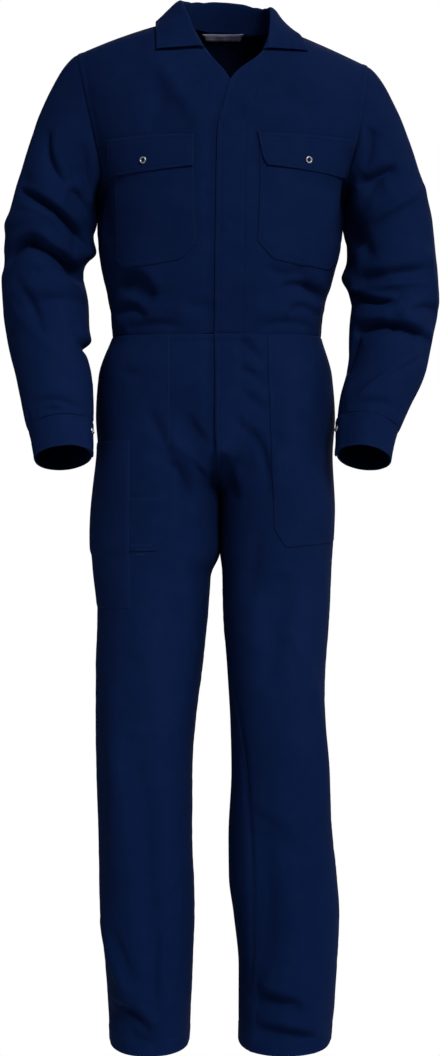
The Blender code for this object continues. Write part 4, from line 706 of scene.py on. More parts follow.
def leg_plain(face, side, v, u):
    """Surface of one side, front or back, without folds."""
    leg, other, sign = LEGS[side], LEGS[OTHER[side]], SIGN[side]
    drop, parted = seat_level(v)
    outer, inner = [np.where(u * sign < 0, along(other, name, drop), along(leg, name, drop))
                    for name in ("outer_x", "inner_x")]
    inner = inner * ease((drop - APART_DROP) / APART_OVER) + sign * LEG_PARTING * parted
    deep, level = along(leg, face + "_y", drop), along(leg, "side_y", drop)
    quarter, half = np.abs(u) * math.pi / 2, np.abs(u) * math.pi
    middle = centre_line(drop)
    seat = pack(middle + (outer - middle) * np.sin(quarter),
                level + (deep - level) * full(np.cos(quarter)), -drop)
    leg_round = pack((inner + outer) / 2 - (outer - inner) / 2 * np.cos(half),
                     level + (deep - level) * full(np.sin(half)), -drop)
    gradual = to_fork(drop)
    soft = np.where(v < 1, to_fork(drop, FORK_FROM), 1.0)
    mix = (gradual + (soft - gradual) * ease(1 - np.abs(u) / FORK_REACH))[..., None]
    return seat * (1 - mix) + leg_round * mix


def leg_raised(face, side, v, u, height):
    low, high = min(SIGN[side], 0.0), max(SIGN[side], 0.0)
    return raised(partial(leg_plain, face, side), v, u, height, OUTWARD[face],
                  np.minimum(low, u), np.maximum(high, u))


def leg(face, side, v, u):
    """One side's cloth, with folds and creases that fade towards its seams."""
    at = leg_plain(face, side, v, u)
    x, drop = at[..., 0], -at[..., 2]
    legs = ease((v - 0.50) / 0.14)
    near_inseam = 1 - legs + legs * ease(np.abs(u) / FOLD_FADE)
    wide, loose, fine = relief(face, x, drop)
    height = ((wide + loose * ease(v / 0.05)) * ease((1 - np.abs(u)) / FOLD_FADE)
              + fine * ease((1 - np.abs(u)) / CREASE_FADE)) * near_inseam
    points = leg_raised(face, side, v, u, height)
    keep = np.where(v < 1.05, ease(np.abs(u) / 0.08), 1.0)
    points[..., 0] = x + (points[..., 0] - x) * keep
    rounding = HEM_ROUND[0] - HEM_ROUND[1] * (
        (2 * np.abs(u) - 1) ** 2 if face == "front" else 1.0)
    points[..., 2] -= ease((v - 1.90) / 0.10) * rounding
    return points


def leg_out(face, side, v, u):
    """Ways out of a leg."""
    return leg_raised(face, side, v, u, np.full(u.shape, NUDGE)) - leg_plain(face, side, v, u)


def leg_u(side, v, x):
    """u of a row of the trouser front where it has the given x."""
    sign = SIGN[side]
    v, x = np.broadcast_arrays(v, np.asarray(x, float))
    return sign * halve(-0.4, 1.0, x.shape, lambda u: leg_plain(
        "front", side, v, u * sign)[..., 0] * sign < x * sign)


def leg_place(side, edge, share, drop):
    """Places on a leg from the share of the way to the side, and the drop."""
    v = halve(0.0, 2.0, drop.shape, lambda v: seat_level(v)[0] < drop)
    start = abs(leg_u(side, v, np.interp(drop, *edge)))
    return v, SIGN[side] * (start + (SIDE_U - start) * share)


def inseam_turn(side, v):
    """u at which the inseam of a leg lies, turned to the front on the left one."""
    if side == "right":
        return np.zeros(v.shape)
    drop = seat_level(v)[0]
    found = leg_u(side, v, along(LEGS[side], "inner_x", drop) + np.interp(drop, *INSEAM))
    return np.where(v > 1.1, np.maximum(found, 0), 0) * ease((drop - 0.85) / 0.06)


# --- the sleeves: s is 0 at the armhole, 1 below the cap, 2 at the cuff; w is 0 inside,
# 0.25 in front, 0.5 outside, 0.75 behind
def tube(side, drop, w, proud=0.0):
    """Ring round an arm, and the way down the arm."""
    sign, step, table = SIGN[side], 0.025, ARMS[side]
    here = np.clip(drop, table["drop"][0] + step, table["drop"][-1] - step)
    slope = [along(table, name, here + step) - along(table, name, here - step) for name in "xy"]
    ahead = unit(pack(*slope, -2 * step))
    inward = np.array([-sign, 0.0, 0.0])
    inward = unit(inward - ahead * (ahead @ inward)[..., None])
    forward = np.cross(ahead, inward) * -sign
    turn = 2 * math.pi * np.asarray(w)
    wide = (along(table, "half_width", drop) + proud) * np.cos(turn)
    deep = (along(table, "half_depth", drop) + proud) * np.sin(turn)
    centre = pack(along(table, "x", drop), along(table, "y", drop), -np.asarray(drop))
    return centre + inward * wide[..., None] + forward * deep[..., None], ahead


def armhole(side, w):
    """Edge of the armhole, the way across its seam to the sleeve, and the way out."""
    row, step = UNDERARM_ROW + SHOULDER_ROW * np.clip(w, 0.0, 1.0), NUDGE
    rim = np.full(row.shape, SIGN[side])
    at = body_plain(row, rim)
    tangent = unit(body_plain(row + step, rim) - body_plain(row - step, rim))
    away = at - body_plain(row, rim * (1 - step))
    normal = unit(np.cross(tangent, away))
    across = unit(np.cross(normal, tangent))
    across = across * np.sign(np.sum(across * away, axis=-1))[..., None]
    near_underarm = np.clip(1 - np.minimum(w, 1 - w) / UNDERARM_SHARE, 0, 1)[..., None]
    out = normal * np.sign(np.sum(normal * (at - BODY_MIDDLE), axis=-1))[..., None]
    return at, unit(across * (1 - near_underarm) + np.array([0, 0, 1]) * near_underarm), out


def sleeve_plain(side, s, w):
    """A sleeve without folds."""
    s, w = np.broadcast_arrays(s, w)
    start, across, out = armhole(side, w)
    start = start + across * SLEEVE_SEAM
    round_top = np.sin(math.pi * np.clip(w, 0, 1))[..., None] ** 2
    leave = unit(across * round_top + out * (1 - round_top))
    ring, ahead = tube(side, np.full(s.shape, CAP_END_DROP), w)
    reach = np.linalg.norm(ring - start, axis=-1, keepdims=True) * CAP_FULLNESS
    cap = curve(start, ring, leave * reach, ahead * reach, np.clip(s, 0, 1)[..., None])
    drop = CAP_END_DROP + (CUFF_SEAM_DROP[side] - CAP_END_DROP) * np.clip(s - 1, 0, 1)
    return np.where(s[..., None] < 1, cap, tube(side, drop, w)[0])


def sleeve(side, s, w):
    """A sleeve's cloth, with its folds and creases."""
    drop = -sleeve_plain(side, s, w)[..., 2]
    w = np.broadcast_to(w, drop.shape)
    loose = slack(w * SLEEVE_GIRTH, drop, 21 if side == "left" else 33)
    height = (fold_height(SLEEVE_FOLDS[side], w, drop, SLEEVE_GIRTH, (-1, 0, 1))
              + loose * ease(np.minimum(w, 1 - w) / 0.05))
    height = height * ease(s / SEWN_FADE[0]) * ease((2 - s) / SEWN_FADE[1])
    creased = crease_height(SLEEVE_CREASES[side], w, drop, SLEEVE_GIRTH, (-1, 0, 1))
    height = height + creased * ease(s / 0.10) * ease((2 - s) / 0.035)
    return raised(partial(sleeve_plain, side), s, w, height, -SIGN[side], 0.0, 1.0)


# --- laying the cloth
def travel(points, axis):
    """Distance along the rows (axis 1) or columns (axis 0) of a grid of points."""
    gaps = np.linalg.norm(np.diff(points, axis=axis), axis=-1)
    start = np.zeros_like(np.take(gaps, [0], axis=axis))
    return np.cumsum(np.concatenate([start, gaps], axis=axis), axis=axis)


def between(first, last):
    """Even steps across from one line of places to another."""
    share = np.linspace(0, 1, COARSE)
    return first[:, None] * (1 - share) + last[:, None] * share


def from_edge(marks):
    """Distances from an edge at which the cloth has points: fine about each mark."""
    wanted = {0.0, 0.0006, 0.0014} | set(np.arange(STEP, max(marks), STEP))
    for mark in marks:
        wanted |= {mark - 0.0014, mark - 0.0007, mark, mark + 0.0007, mark + 0.0014}
    kept = []
    for place in sorted(w for w in wanted if w >= 0):
        if kept and place - kept[-1] < 0.00045:
            if place not in marks:
                continue
            if kept[-1] != 0.0 and kept[-1] not in marks:
                kept.pop()
        kept.append(float(place))
    return np.array(kept)


def spaced(surface, a, u, marks, axis, step=STEP):
    """The places of a grid, with rows or columns at set distances from two edges."""
    if axis == 0:
        a, u = a.T, u.T
    near, far = from_edge(marks[0]), from_edge(marks[1])
    length = travel(surface(a, u), 1)
    total = length[:, -1:]
    taken = near[-1] + far[-1]
    tight = np.minimum(1.0, total / (taken * 1.25))
    count = max(2, int(math.ceil((total.max() - taken) / step)))
    first, last = near[None, :] * tight, total - far[None, ::-1] * tight
    share = np.linspace(0, 1, count + 1)[1:-1]
    middle = first[:, -1:] + (last[:, :1] - first[:, -1:]) * share
    wanted = np.concatenate([first, middle, last], axis=1)
    a, u = [np.array([np.interp(wanted[i], length[i], old[i]) for i in range(len(old))])
            for old in (a, u)]
    return (a.T, u.T) if axis == 0 else (a, u)


def grid_normals(points):
    """Normals on the side that create_grid's own faces have: up from x and y."""
    return np.cross(np.gradient(points, axis=1), np.gradient(points, axis=0))


def outward_normals(points, out):
    """Normals of a grid of points, on the side of the given ways out."""
    found = unit(grid_normals(points))
    return found * (1.0 if np.sum(found * out) > 0 else -1.0)


# --- cloth
def new_item(name, data):
    item = bpy.data.objects.new(name, data)
    bpy.context.scene.collection.objects.link(item)
    return item


def into_mesh(bm, mesh):
    bm.to_mesh(mesh)
    bm.free()
    return mesh


def sheet_mesh(name, points, out, wear, wall=CLOTH, closed=False, finish=None):
    """A piece of cloth from a grid of points, with its thread coordinates and its wall."""
    rows, columns = points.shape[:2]
    bm = bmesh.new()
    bmesh.ops.create_grid(bm, x_segments=columns - 1, y_segments=rows - 1, size=1.0)
    mesh = into_mesh(bm, bpy.data.meshes.new(name))
    place = np.empty(len(mesh.vertices) * 3, np.float32)
    mesh.vertices.foreach_get("co", place)
    place = place.reshape(-1, 3)
    column = np.rint((place[:, 0] + 1) / 2 * (columns - 1)).astype(int)
    row = np.rint((place[:, 1] + 1) / 2 * (rows - 1)).astype(int)
    mesh.vertices.foreach_set("co", points[row, column].astype(np.float32).ravel())
    across = travel(points, 1)
    across = across - across[:, columns // 2][:, None]
    down = travel(points, 0)[:, columns // 2]
    threads = pack(across, -down[:, None], 0.0)[..., :2]
    corner = np.empty(len(mesh.loops), np.int32)
    mesh.loops.foreach_get("vertex_index", corner)
    layer = mesh.uv_layers.new(name="threads")
    layer.data.foreach_set("uv", threads[row[corner], column[corner]].astype(np.float32).ravel())
    pale = mesh.attributes.new("worn", "FLOAT", "POINT")
    pale.data.foreach_set("value", wear[row, column].astype(np.float32))
    if np.sum(grid_normals(points) * out) < 0:
        mesh.flip_normals()
    if closed:
        bm = bmesh.new()
        bm.from_mesh(mesh)
        bmesh.ops.remove_doubles(bm, verts=bm.verts, dist=1e-6)
        into_mesh(bm, mesh)
    mesh.shade_smooth()
    item = new_item(name, mesh)
    solid = item.modifiers.new("wall", "SOLIDIFY")
    solid.thickness = wall
    solid.offset = -1.0
    solid.use_quality_normals = True
    mesh.materials.append(finish or TWILL)
    if finish is None:
        # the inner faces get the copy of the twill with painted shade
        mesh.materials.append(INSIDE_PAINTED_SHADE)
        solid.material_offset = 1
    return item


def pressed(gap, depth, reach):
    """An edge pressed thinner than the cloth beside it."""
    return -depth * (1 - ease(gap / reach))


class Panel:
    """A piece of cloth: its points, the ways out, and the relief that sewing gives it.

    near, far, top and bottom tell how far each point lies from the four edges.
    """

    def __init__(self, points, out):
        self.points, self.out = points, out
        self.near, self.top = travel(points, 1), travel(points, 0)
        self.far = self.near[:, -1:] - self.near
        self.bottom = self.top[-1:] - self.top
        self.height, self.wear = np.zeros(self.near.shape), np.zeros(self.near.shape)

    def add(self, *heights):
        self.height = self.height + sum(heights)

    def rub(self, *wear):
        self.wear = np.maximum.reduce([self.wear, *wear])

    def beside(self, side, mark=0.0):
        """Distance from a line beside an edge, and the way along it."""
        return abs(getattr(self, side) - mark), self.top if side in ("near", "far") else self.near

    def edge(self, *sides):
        return np.minimum.reduce([getattr(self, side) for side in sides])

    def grooves(self, side, marks, depth=0.00035, width=0.0007):
        """The little valleys that rows of stitches pull into the cloth."""
        return -depth * sum(np.exp(-(self.beside(side, mark)[0] / width) ** 2) for mark in marks)

    def pucker(self, side, reach, seed, depth=0.00028, mark=0.0):
        """Small ripples that stitching draws across a seam, dying out away from it."""
        gap, run = self.beside(side, mark)
        ripple = (soft_noise(run, gap * 0.15, 0.0062, seed)
                  + 0.5 * soft_noise(run, gap * 0.3, 0.014, seed + 5))
        return depth * ripple * np.exp(-(gap / reach) ** 2) * ease(gap / 0.002)

    def worn(self, side, seed, reach=0.0016, mark=0.0):
        """How much an edge has paled, from 0 to 1."""
        gap, run = self.beside(side, mark)
        return np.exp(-(gap / reach) ** 2) * (0.6 + 0.4 * soft_noise(run, 0 * run, 0.012, seed))

    def felled(self, side, seed):
        """A felled seam along an edge: a low flat ridge, a row of stitches each side."""
        gap, _ = self.beside(side)
        ridge = FELL_RISE * ease(gap / 0.0012) * (1 - ease((gap - FELL) / 0.0012))
        return ridge + self.grooves(side, TWO_ROWS) + self.pucker(side, 0.013, seed)

    def topstitched(self, seed):
        """The turned front edge with its stitches, a little full beside them."""
        swell = 0.0003 * np.exp(-((self.near / EDGE_STITCH - 0.5) / 0.3) ** 2)
        return (pressed(self.near, 0.0003, 0.0014) + swell
                + self.grooves("near", [EDGE_STITCH]) + self.pucker("near", 0.010, seed))

    def fly(self, seed):
        """The row of stitches that holds the concealed fly."""
        return (self.grooves("near", [FLY_STITCH], 0.0005, 0.0010)
                + self.pucker("near", 0.010, seed, mark=FLY_STITCH))

    def hem(self, seed):
        """The turned and stitched bottom of a leg: two more layers behind its edge."""
        return (-pressed(self.bottom - HEM_DEEP, 0.0005, 0.0014)
                + pressed(self.bottom, 0.0004, 0.0016) + self.grooves("bottom", [HEM_DEEP])
                + self.pucker("bottom", 0.012, seed, 0.0004, HEM_DEEP))

    def finish(self, name, lift=0.0, **options):
        """Makes the piece, on its points and its relief."""
        self.laid = self.points + self.out * (self.height + lift)[..., None]
        if options.get("closed"):
            self.laid[:, 0] = self.laid[:, -1] = (self.laid[:, 0] + self.laid[:, -1]) / 2
        self.item = sheet_mesh(name, self.laid, self.out, self.wear, **options)

    def sew(self, group, side, marks, first=0, last=None):
        """Rows of stitches along an edge."""
        grids = self.laid, self.out, getattr(self, side)
        if side in ("near", "far"):
            grids = [np.swapaxes(grid, 0, 1) for grid in grids]
        laid, out, gap = grids
        for mark in marks:
            k = nearest(gap[:, gap.shape[1] // 2], mark)
            sew(group, laid[k, first:last], out[k, first:last])

    def settle(self, node, rests_on, held="hung", slot="twill", with_pieces=(), laid=False):
        """Puts the piece in place of its solid, which it hides, and hangs it from the root; laid,
        for a cut plain or as laid, is not used.
        """
        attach(self.item, "root")
        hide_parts(node)

    def closest(self, x, drop):
        gap = np.hypot(self.laid[..., 0] - x, self.laid[..., 2] + drop)
        return np.unravel_index(np.argmin(gap), gap.shape)


def laid_on(surface, out, a, u, sides, rows, steps=(STEP, STEP)):
    """A panel on a surface, with the places of its points."""
    a, u = spaced(surface, a, u, sides, 1, steps[0])
    a, u = spaced(surface, a, u, rows, 0, steps[1])
    points = surface(a, u)
    return Panel(points, outward_normals(points, out(a, u))), a, u


# --- stitches
SEWING = {"upper": [], "sleeves": [], "trousers": [], "collar": [], "tacks": []}


def sew(group, line, out, lift=0.0):
    """A row of stitches along a line of points on the cloth."""
    length = travel(line[None], 1)[0]
    place = np.arange(0.002, length[-1] - 0.002, STITCH)
    if len(place) < 2:
        return

    def at(grid, shift=0.0):
        return np.stack([np.interp(place + shift, length, grid[:, k]) for k in range(3)], axis=-1)

    up = unit(at(out))
    ahead = at(line, STITCH_LONG / 2) - at(line, -STITCH_LONG / 2)
    ahead = unit(ahead - up * np.sum(ahead * up, axis=-1)[:, None])
    SEWING[group].append((at(line) + up * lift, ahead, up))


def make_sewing(name, rows, thread):
    """All the stitches of some rows as one mesh, an array of one low bar."""
    bm = bmesh.new()
    bmesh.ops.create_cube(bm, size=1.0)
    top = [v for v in bm.verts if v.co.z > 0]
    bmesh.ops.scale(bm, verts=top, vec=(0.72, 0.5, 1.0))
    corners = np.array([v.co[:] for v in bm.verts])
    faces = np.array([[v.index for v in f.verts] for f in bm.faces])
    bm.free()
    at, ahead, up = [np.concatenate([row[k] for row in rows])[:, None] for k in range(3)]
    x, y, z = [corners[None, :, k:k + 1] for k in range(3)]
    points = (at + x * STITCH_LONG * ahead + y * STITCH_WIDE * np.cross(up, ahead)
              + (z + 0.1) * STITCH_HIGH * up)
    quads = faces[None] + np.arange(len(at))[:, None, None] * len(corners)
    mesh = bpy.data.meshes.new(name)
    mesh.from_pydata(points.reshape(-1, 3), [], quads.reshape(-1, 4).tolist())
    mesh.shade_smooth()
    mesh.materials.append(thread)
    item = new_item(name, mesh)
    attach(item, "root")


# --- the panels
def lap_depth(x, over):
    """How far the under front lies below the upper one, whose edge is at over."""
    return UNDERLAP * ease((x - over + LAP_WIDE) / (LAP_WIDE - LAP_FLAT))


def make_front(side):
    """Upper front: from the front edge and neckline to the side seam and armhole."""
    left, seed = side == "left", 40 + MORE[side]
    rows = np.linspace(0, SHOULDER_ROW, COARSE)
    edge = body_u(rows, along(FRONT_EDGE, side + "_x", rows))
    panel, a, u = laid_on(
        body, body_out, np.repeat(rows[:, None], COARSE, axis=1),
        between(edge, np.full(COARSE, SIGN[side])),
        ([EDGE_STITCH, FLY_STITCH] if left else [EDGE_STITCH], SEAM_MARKS), [SEAM_MARKS] * 2)
    panel.add(panel.topstitched(seed), panel.felled("far", seed + 1),
              panel.grooves("top", TWO_ROWS[:1]), panel.pucker("top", 0.014, seed + 2))
    if left:
        panel.add(ease((PLACKET_ROW - a) / 0.5) * panel.fly(seed + 3))
        for x, drop, rise in HIDDEN_SNAPS:
            away = np.hypot(panel.points[..., 0] - x, panel.points[..., 2] + drop)
            panel.add(rise * (1 - ease((away - 0.0045) / 0.0035)))
    else:
        over = along(FRONT_EDGE, "left_x", a)
        panel.add(-lap_depth(body_plain(a, u)[..., 0], over)
                  * ease((LAP_FADE[0] - a) / LAP_FADE[1]))
    neck_edge = ease((a - PLACKET_ROW) / 0.3) * np.exp(-(panel.near / 0.0018) ** 2)
    panel.rub(panel.worn("near", seed), 2.2 * neck_edge,
              0.6 * panel.worn("far", seed + 2, mark=FELL * FELL_PALE))
    panel.finish(side + "_front")
    panel.sew("upper", "near", [EDGE_STITCH])
    if left:
        panel.sew("upper", "near", [FLY_STITCH], 0, nearest(a[:, 3], PLACKET_ROW))
    panel.sew("upper", "far", TWO_ROWS)
    panel.settle("front_" + side, ["front_" + side])


def make_back():
    """Upper back: one panel, its top edge along the shoulders and the back neck."""
    rows = np.linspace(2 * SHOULDER_ROW, SHOULDER_ROW, COARSE)
    share = np.linspace(-1, 1, 2 * COARSE)
    neck = [body_u(SHOULDER_ROW, along(FRONT_EDGE, s + "_x", 10.0)) for s in ("right", "left")]
    reach = (neck[1] - neck[0]) / 2
    dip = np.sqrt(np.clip(1 - ((share - sum(neck) / 2) / reach) ** 2, 0, 1)) * BACK_NECK_DEPTH
    a = rows[:, None] + dip * ease((SHOULDER_ROW + NECK_FADE - rows) / NECK_FADE)[:, None]
    panel, a, _ = laid_on(body, body_out, a, np.broadcast_to(share, a.shape),
                          [SEAM_MARKS] * 2, [SEAM_MARKS] * 2, BACK_STEPS)
    arm = ease((UNDERARM_ROW + SHOULDER_ROW + 0.2 - a) / 0.4)
    panel.add(arm * (panel.felled("near", 71) + panel.felled("far", 72)),
              panel.grooves("top", TWO_ROWS[:1]), panel.pucker("top", 0.014, 74),
              panel.felled("bottom", 75))
    for side, seed in (("near", 76), ("far", 77)):
        panel.rub(arm * 0.6 * panel.worn(side, seed, mark=FELL * FELL_PALE))
    panel.finish("upper_back")
    for side in ("near", "far"):
        panel.sew("upper", side, TWO_ROWS, nearest(a[:, 0], UNDERARM_ROW + SHOULDER_ROW))
    panel.sew("upper", "bottom", TWO_ROWS)
    panel.settle("back_upper", ["back_upper"])


def leg_rows():
    rows = np.concatenate([np.linspace(0, 1, 50), np.linspace(1, 2, 61)[1:]])
    return rows, np.repeat(rows[:, None], COARSE, axis=1)


def make_trouser_front(side):
    """Trouser front: fly edge, crotch and inseam to the outside seam, waist to hem."""
    left, sign, seed = side == "left", SIGN[side], 80 + MORE[side]
    rows, v = leg_rows()
    drop = seat_level(rows)[0]
    edge = leg_u(side, rows, centre_line(drop) - sign * along(FLY_EDGE, side + "_past", drop))
    edge = (np.where(drop < FLY_END_DROP, np.minimum(edge * sign, 0.0), 0.0)
            + inseam_turn(side, rows))
    panel, v, u = laid_on(partial(leg, "front", side), partial(leg_out, "front", side),
                          v, between(edge, np.ones(len(rows))) * sign,
                          (SEAM_MARKS + [FLY_STITCH] if left else SEAM_MARKS, SEAM_MARKS),
                          (SEAM_MARKS, [HEM_DEEP]), LEG_STEPS)
    drop = seat_level(v)[0]
    fly = ease((FLY_END_DROP - drop) / 0.02)
    panel.add(fly * panel.topstitched(seed), (1 - fly) * panel.felled("near", seed + 1),
              panel.felled("far", seed + 2), panel.felled("top", seed + 3),
              panel.hem(seed + 4))
    if left:
        panel.add(ease((FLY_END_DROP - 0.03 - drop) / 0.02) * panel.fly(seed + 5))
    else:
        over = centre_line(drop) - along(FLY_EDGE, "left_past", drop)
        panel.add(-lap_depth(leg_plain("front", side, v, u)[..., 0], over)
                  * ease((FLY_END_DROP + FLY_FADE - drop) / FLY_FADE))
    panel.rub(panel.worn("near", seed), 0.7 * panel.worn("bottom", seed + 1),
              0.7 * panel.worn("far", seed + 2, mark=FELL * FELL_PALE))
    panel.finish(side + "_trouser_front")
    for mark in TWO_ROWS:
        panel.sew("trousers", "far", [mark])
        panel.sew("trousers", "top", [mark])
    panel.sew("trousers", "near", TWO_ROWS[:1], nearest(drop[:, 0], FLY_END_DROP))
    panel.sew("trousers", "near", [EDGE_STITCH])
    if left:
        panel.sew("trousers", "near", [FLY_STITCH], 0, nearest(drop[:, 0], FLY_END_DROP - 0.04))
    panel.sew("trousers", "bottom", [HEM_DEEP])
    panel.settle("trouser_front_" + side, [side + "_front"])


def make_trouser_back(side):
    """Trouser back: centre back and inseam to the outside seam, waist to hem."""
    left, seed = side == "left", 120 + MORE[side]
    rows, v = leg_rows()

    def both(of_leg, v, q):
        """q is the place across: below 0 it lies on the front, above 0 on the back."""
        q = q * SIGN[side]
        return np.where(q[..., None] * SIGN[side] < 0, of_leg("front", side, v, -q),
                        of_leg("back", side, v, q))

    panel, v, _ = laid_on(partial(both, leg), partial(both, leg_out), v,
                          between(-inseam_turn(side, rows), np.ones(len(rows))),
                          (SEAM_MARKS, BARE_EDGE), (SEAM_MARKS, [HEM_DEEP]), BACK_STEPS)
    if left:
        panel.add(ease((1 - v) / 0.1) * panel.felled("near", seed))
    panel.add(panel.felled("top", seed + 1), panel.hem(seed + 2),
              panel.pucker("far", 0.012, seed + 3))
    panel.rub(0.7 * panel.worn("bottom", seed + 1))
    panel.finish(side + "_trouser_back")
    if left:
        panel.sew("trousers", "near", TWO_ROWS, 0, nearest(v[:, 0], 1))
    panel.sew("trousers", "top", TWO_ROWS)
    panel.sew("trousers", "bottom", [HEM_DEEP])
    panel.settle("trouser_back_" + side, ["upper_back"])


def make_sleeve(side):
    """One-piece sleeve, closed by its seam along the inside of the arm."""
    seed = 160 + MORE[side]
    s, w = np.meshgrid(np.linspace(0, 2, 2 * COARSE), np.linspace(0, 1, 133), indexing="ij")
    s, w = spaced(partial(sleeve, side), s, w, (BARE_EDGE, TWO_ROWS[:1]), 0, SLEEVE_STEP)
    w = np.clip(w, 0, 1)
    plain = partial(sleeve_plain, side)
    out = raised(plain, s, w, np.full(s.shape, NUDGE), -SIGN[side], 0.0, 1.0) - plain(s, w)
    points = sleeve(side, s, w)
    panel = Panel(points, outward_normals(points, out))
    panel.add(pressed(panel.top, 0.0003, 0.002), panel.pucker("top", 0.012, seed),
              panel.pucker("bottom", 0.016, seed + 1, 0.0006))
    panel.height = panel.height * ease(np.minimum(w, 1 - w) / 0.02)
    panel.finish(side + "_sleeve", closed=True)
    panel.settle("sleeve_" + side, [side + "_front", "upper_back"], laid=True)


# --- the patches
def coons(top, bottom, left, right):
    """A grid of places inside four lines of as many places each."""
    p = np.linspace(0, 1, len(top))[None, :, None]
    q = np.linspace(0, 1, len(left))[:, None, None]
    corners = ((1 - p) * (1 - q) * top[0] + p * (1 - q) * top[-1]
               + (1 - p) * q * bottom[0] + p * q * bottom[-1])
    return ((1 - q) * top[None] + q * bottom[None] + (1 - p) * left[:, None]
            + p * right[:, None] - corners)


def drawn(corners, soft, count=50, fine=400):
    """Even places along a bent line, its corners rounded off where soft is above 0."""
    def even(line, count):
        length = travel(line[None], 1)[0]
        steps = np.linspace(0, length[-1], count)
        return np.stack([np.interp(steps, length, line[:, k]) for k in range(2)], axis=-1)

    corners = np.array(corners, float)
    line = even(corners, fine)
    if soft > 0:
        reach = max(1, int(soft / travel(corners[None], 1)[0, -1] * fine))
        core = np.ones(2 * reach + 1) / (2 * reach + 1)
        padded = np.concatenate([2 * line[0] - line[reach:0:-1], line,
                                 2 * line[-1] - line[-2:-reach - 2:-1]])
        line = np.stack([np.convolve(padded[:, k], core, "valid") for k in range(2)], axis=-1)
    return even(line, count)


def make_patch(name, ground, lines, seed, shape, marks, group, sewn, soft=0.004, edge=1.0):
    """A patch between drawn lines of places, laid on its ground and sewn down."""
    surface, place, out = ground
    top, bottom, inner, outer = lines
    grid = coons(*[drawn(line, soft) for line in (
        top, bottom, [top[0], *inner, bottom[0]], [top[-1], *outer, bottom[-1]])])
    beside, above, below = marks
    panel, _, _ = laid_on(surface, out, *place(grid[..., 0], grid[..., 1]),
                          (beside, beside), (above, below))
    panel.add(shape(panel, seed))
    for side in ("near", "far", "top", "bottom"):
        panel.add(pressed(getattr(panel, side), 0.0005, 0.0012))
        if side in sewn:
            panel.add(edge * panel.grooves(side, sewn[side]),
                      edge * panel.pucker(side, 0.010, seed + len(side)))
            panel.rub(panel.worn(side, seed + 9))
    panel.finish(name, PATCH_CLOTH, wall=PATCH_CLOTH)
    for side, rows in sewn.items():
        panel.sew(group, side, rows)
    return panel


def pocket_shape(fullness, seam, panel, seed):
    """Flat at its sewn edges, a little full in the middle, with a few soft dents."""
    dents = (0.0005 * soft_noise(panel.near, panel.top, 0.035, seed)
             + 0.0002 * soft_noise(panel.near, panel.top, 0.016, seed + 1))
    middle = ease((panel.edge("near", "far", "bottom") - 0.006) / 0.030)
    height = LAID_ON + middle * (fullness + dents)
    if seam:
        level, start, end = seam
        x, below = panel.points[..., 0], -panel.points[..., 2] - level
        reach = ease((x - start) / 0.008) * ease((end - x) / 0.008)
        lap = 0.0014 * ease(below / 0.0016 + 0.5) * ease(1 - below / 0.030)
        height = height + reach * (lap - 0.0009 * np.exp(-(below / 0.0014) ** 2))
    return height


def flap_shape(panel, seed):
    """Sewn down along its top, its free edge standing off, held in by its snap."""
    free = ease((panel.top - 0.004) / 0.040)
    ripple = 0.0008 * soft_noise(panel.near, panel.top * 0.3, 0.030, seed)
    x = panel.near / panel.near[:, -1:]
    held = np.exp(-(((x - 0.58) / 0.16) ** 2 + ((panel.bottom - 0.02) / 0.022) ** 2))
    return 0.0021 + free * (0.0017 + ripple) - 0.0008 * held


def rule_shape(panel, _):
    """Narrow pocket that stands open towards the side, flat at its inner edge and ends."""
    long, wide = panel.top / panel.top[-1:], panel.near / panel.near[:, -1:]
    drop = -panel.points[..., 2]
    puff = RULE_PUFF * np.sin(math.pi * long) ** 1.5 * ease(wide / 0.9)
    under = (LAID_ON + 0.0006 + PATCH_CLOTH) * (1 - ease((drop - HIP_FOOT) / 0.012))
    return (0.6 * LAID_ON + under + pressed(panel.edge("near", "top", "bottom"), 0.0008, 0.008)
            + puff)


POCKET_MARKS = (TWO_ROWS, BARE_EDGE, TWO_ROWS)


def make_chest(side):
    """Chest pocket, its flap and the ring snap that holds the flap."""
    ground, more = (body, body_place, body_out), MORE[side] // 2
    pocket = make_patch(
        side + "_chest_pocket", ground, CHEST_LINES[side], 200 + more,
        partial(pocket_shape, 0.0009, None), POCKET_MARKS, "upper",
        {"near": TWO_ROWS, "far": TWO_ROWS, "bottom": TWO_ROWS})
    pocket.settle("chest_pocket_" + side, [side + "_front"], "laid")
    one = [FLAP_STITCH]
    flap = make_patch(
        side + "_chest_flap", ground, FLAP_LINES[side], 220 + more, flap_shape,
        (one, TWO_ROWS, one), "upper",
        {"top": TWO_ROWS, "near": one, "far": one, "bottom": one}, 0.006)
    x, drop = CHEST_SNAPS[side]
    i, j = flap.closest(x, drop)
    at = np.array([x, flap.laid[i, j, 1], -drop])
    snap = make_snap(side + "_chest_snap", "snap_chest_" + side, at,
                     outward_normals(flap.laid, flap.out)[i, j])
    flap.settle("chest_flap_" + side, [side + "_chest_pocket"], "laid", with_pieces=[snap])


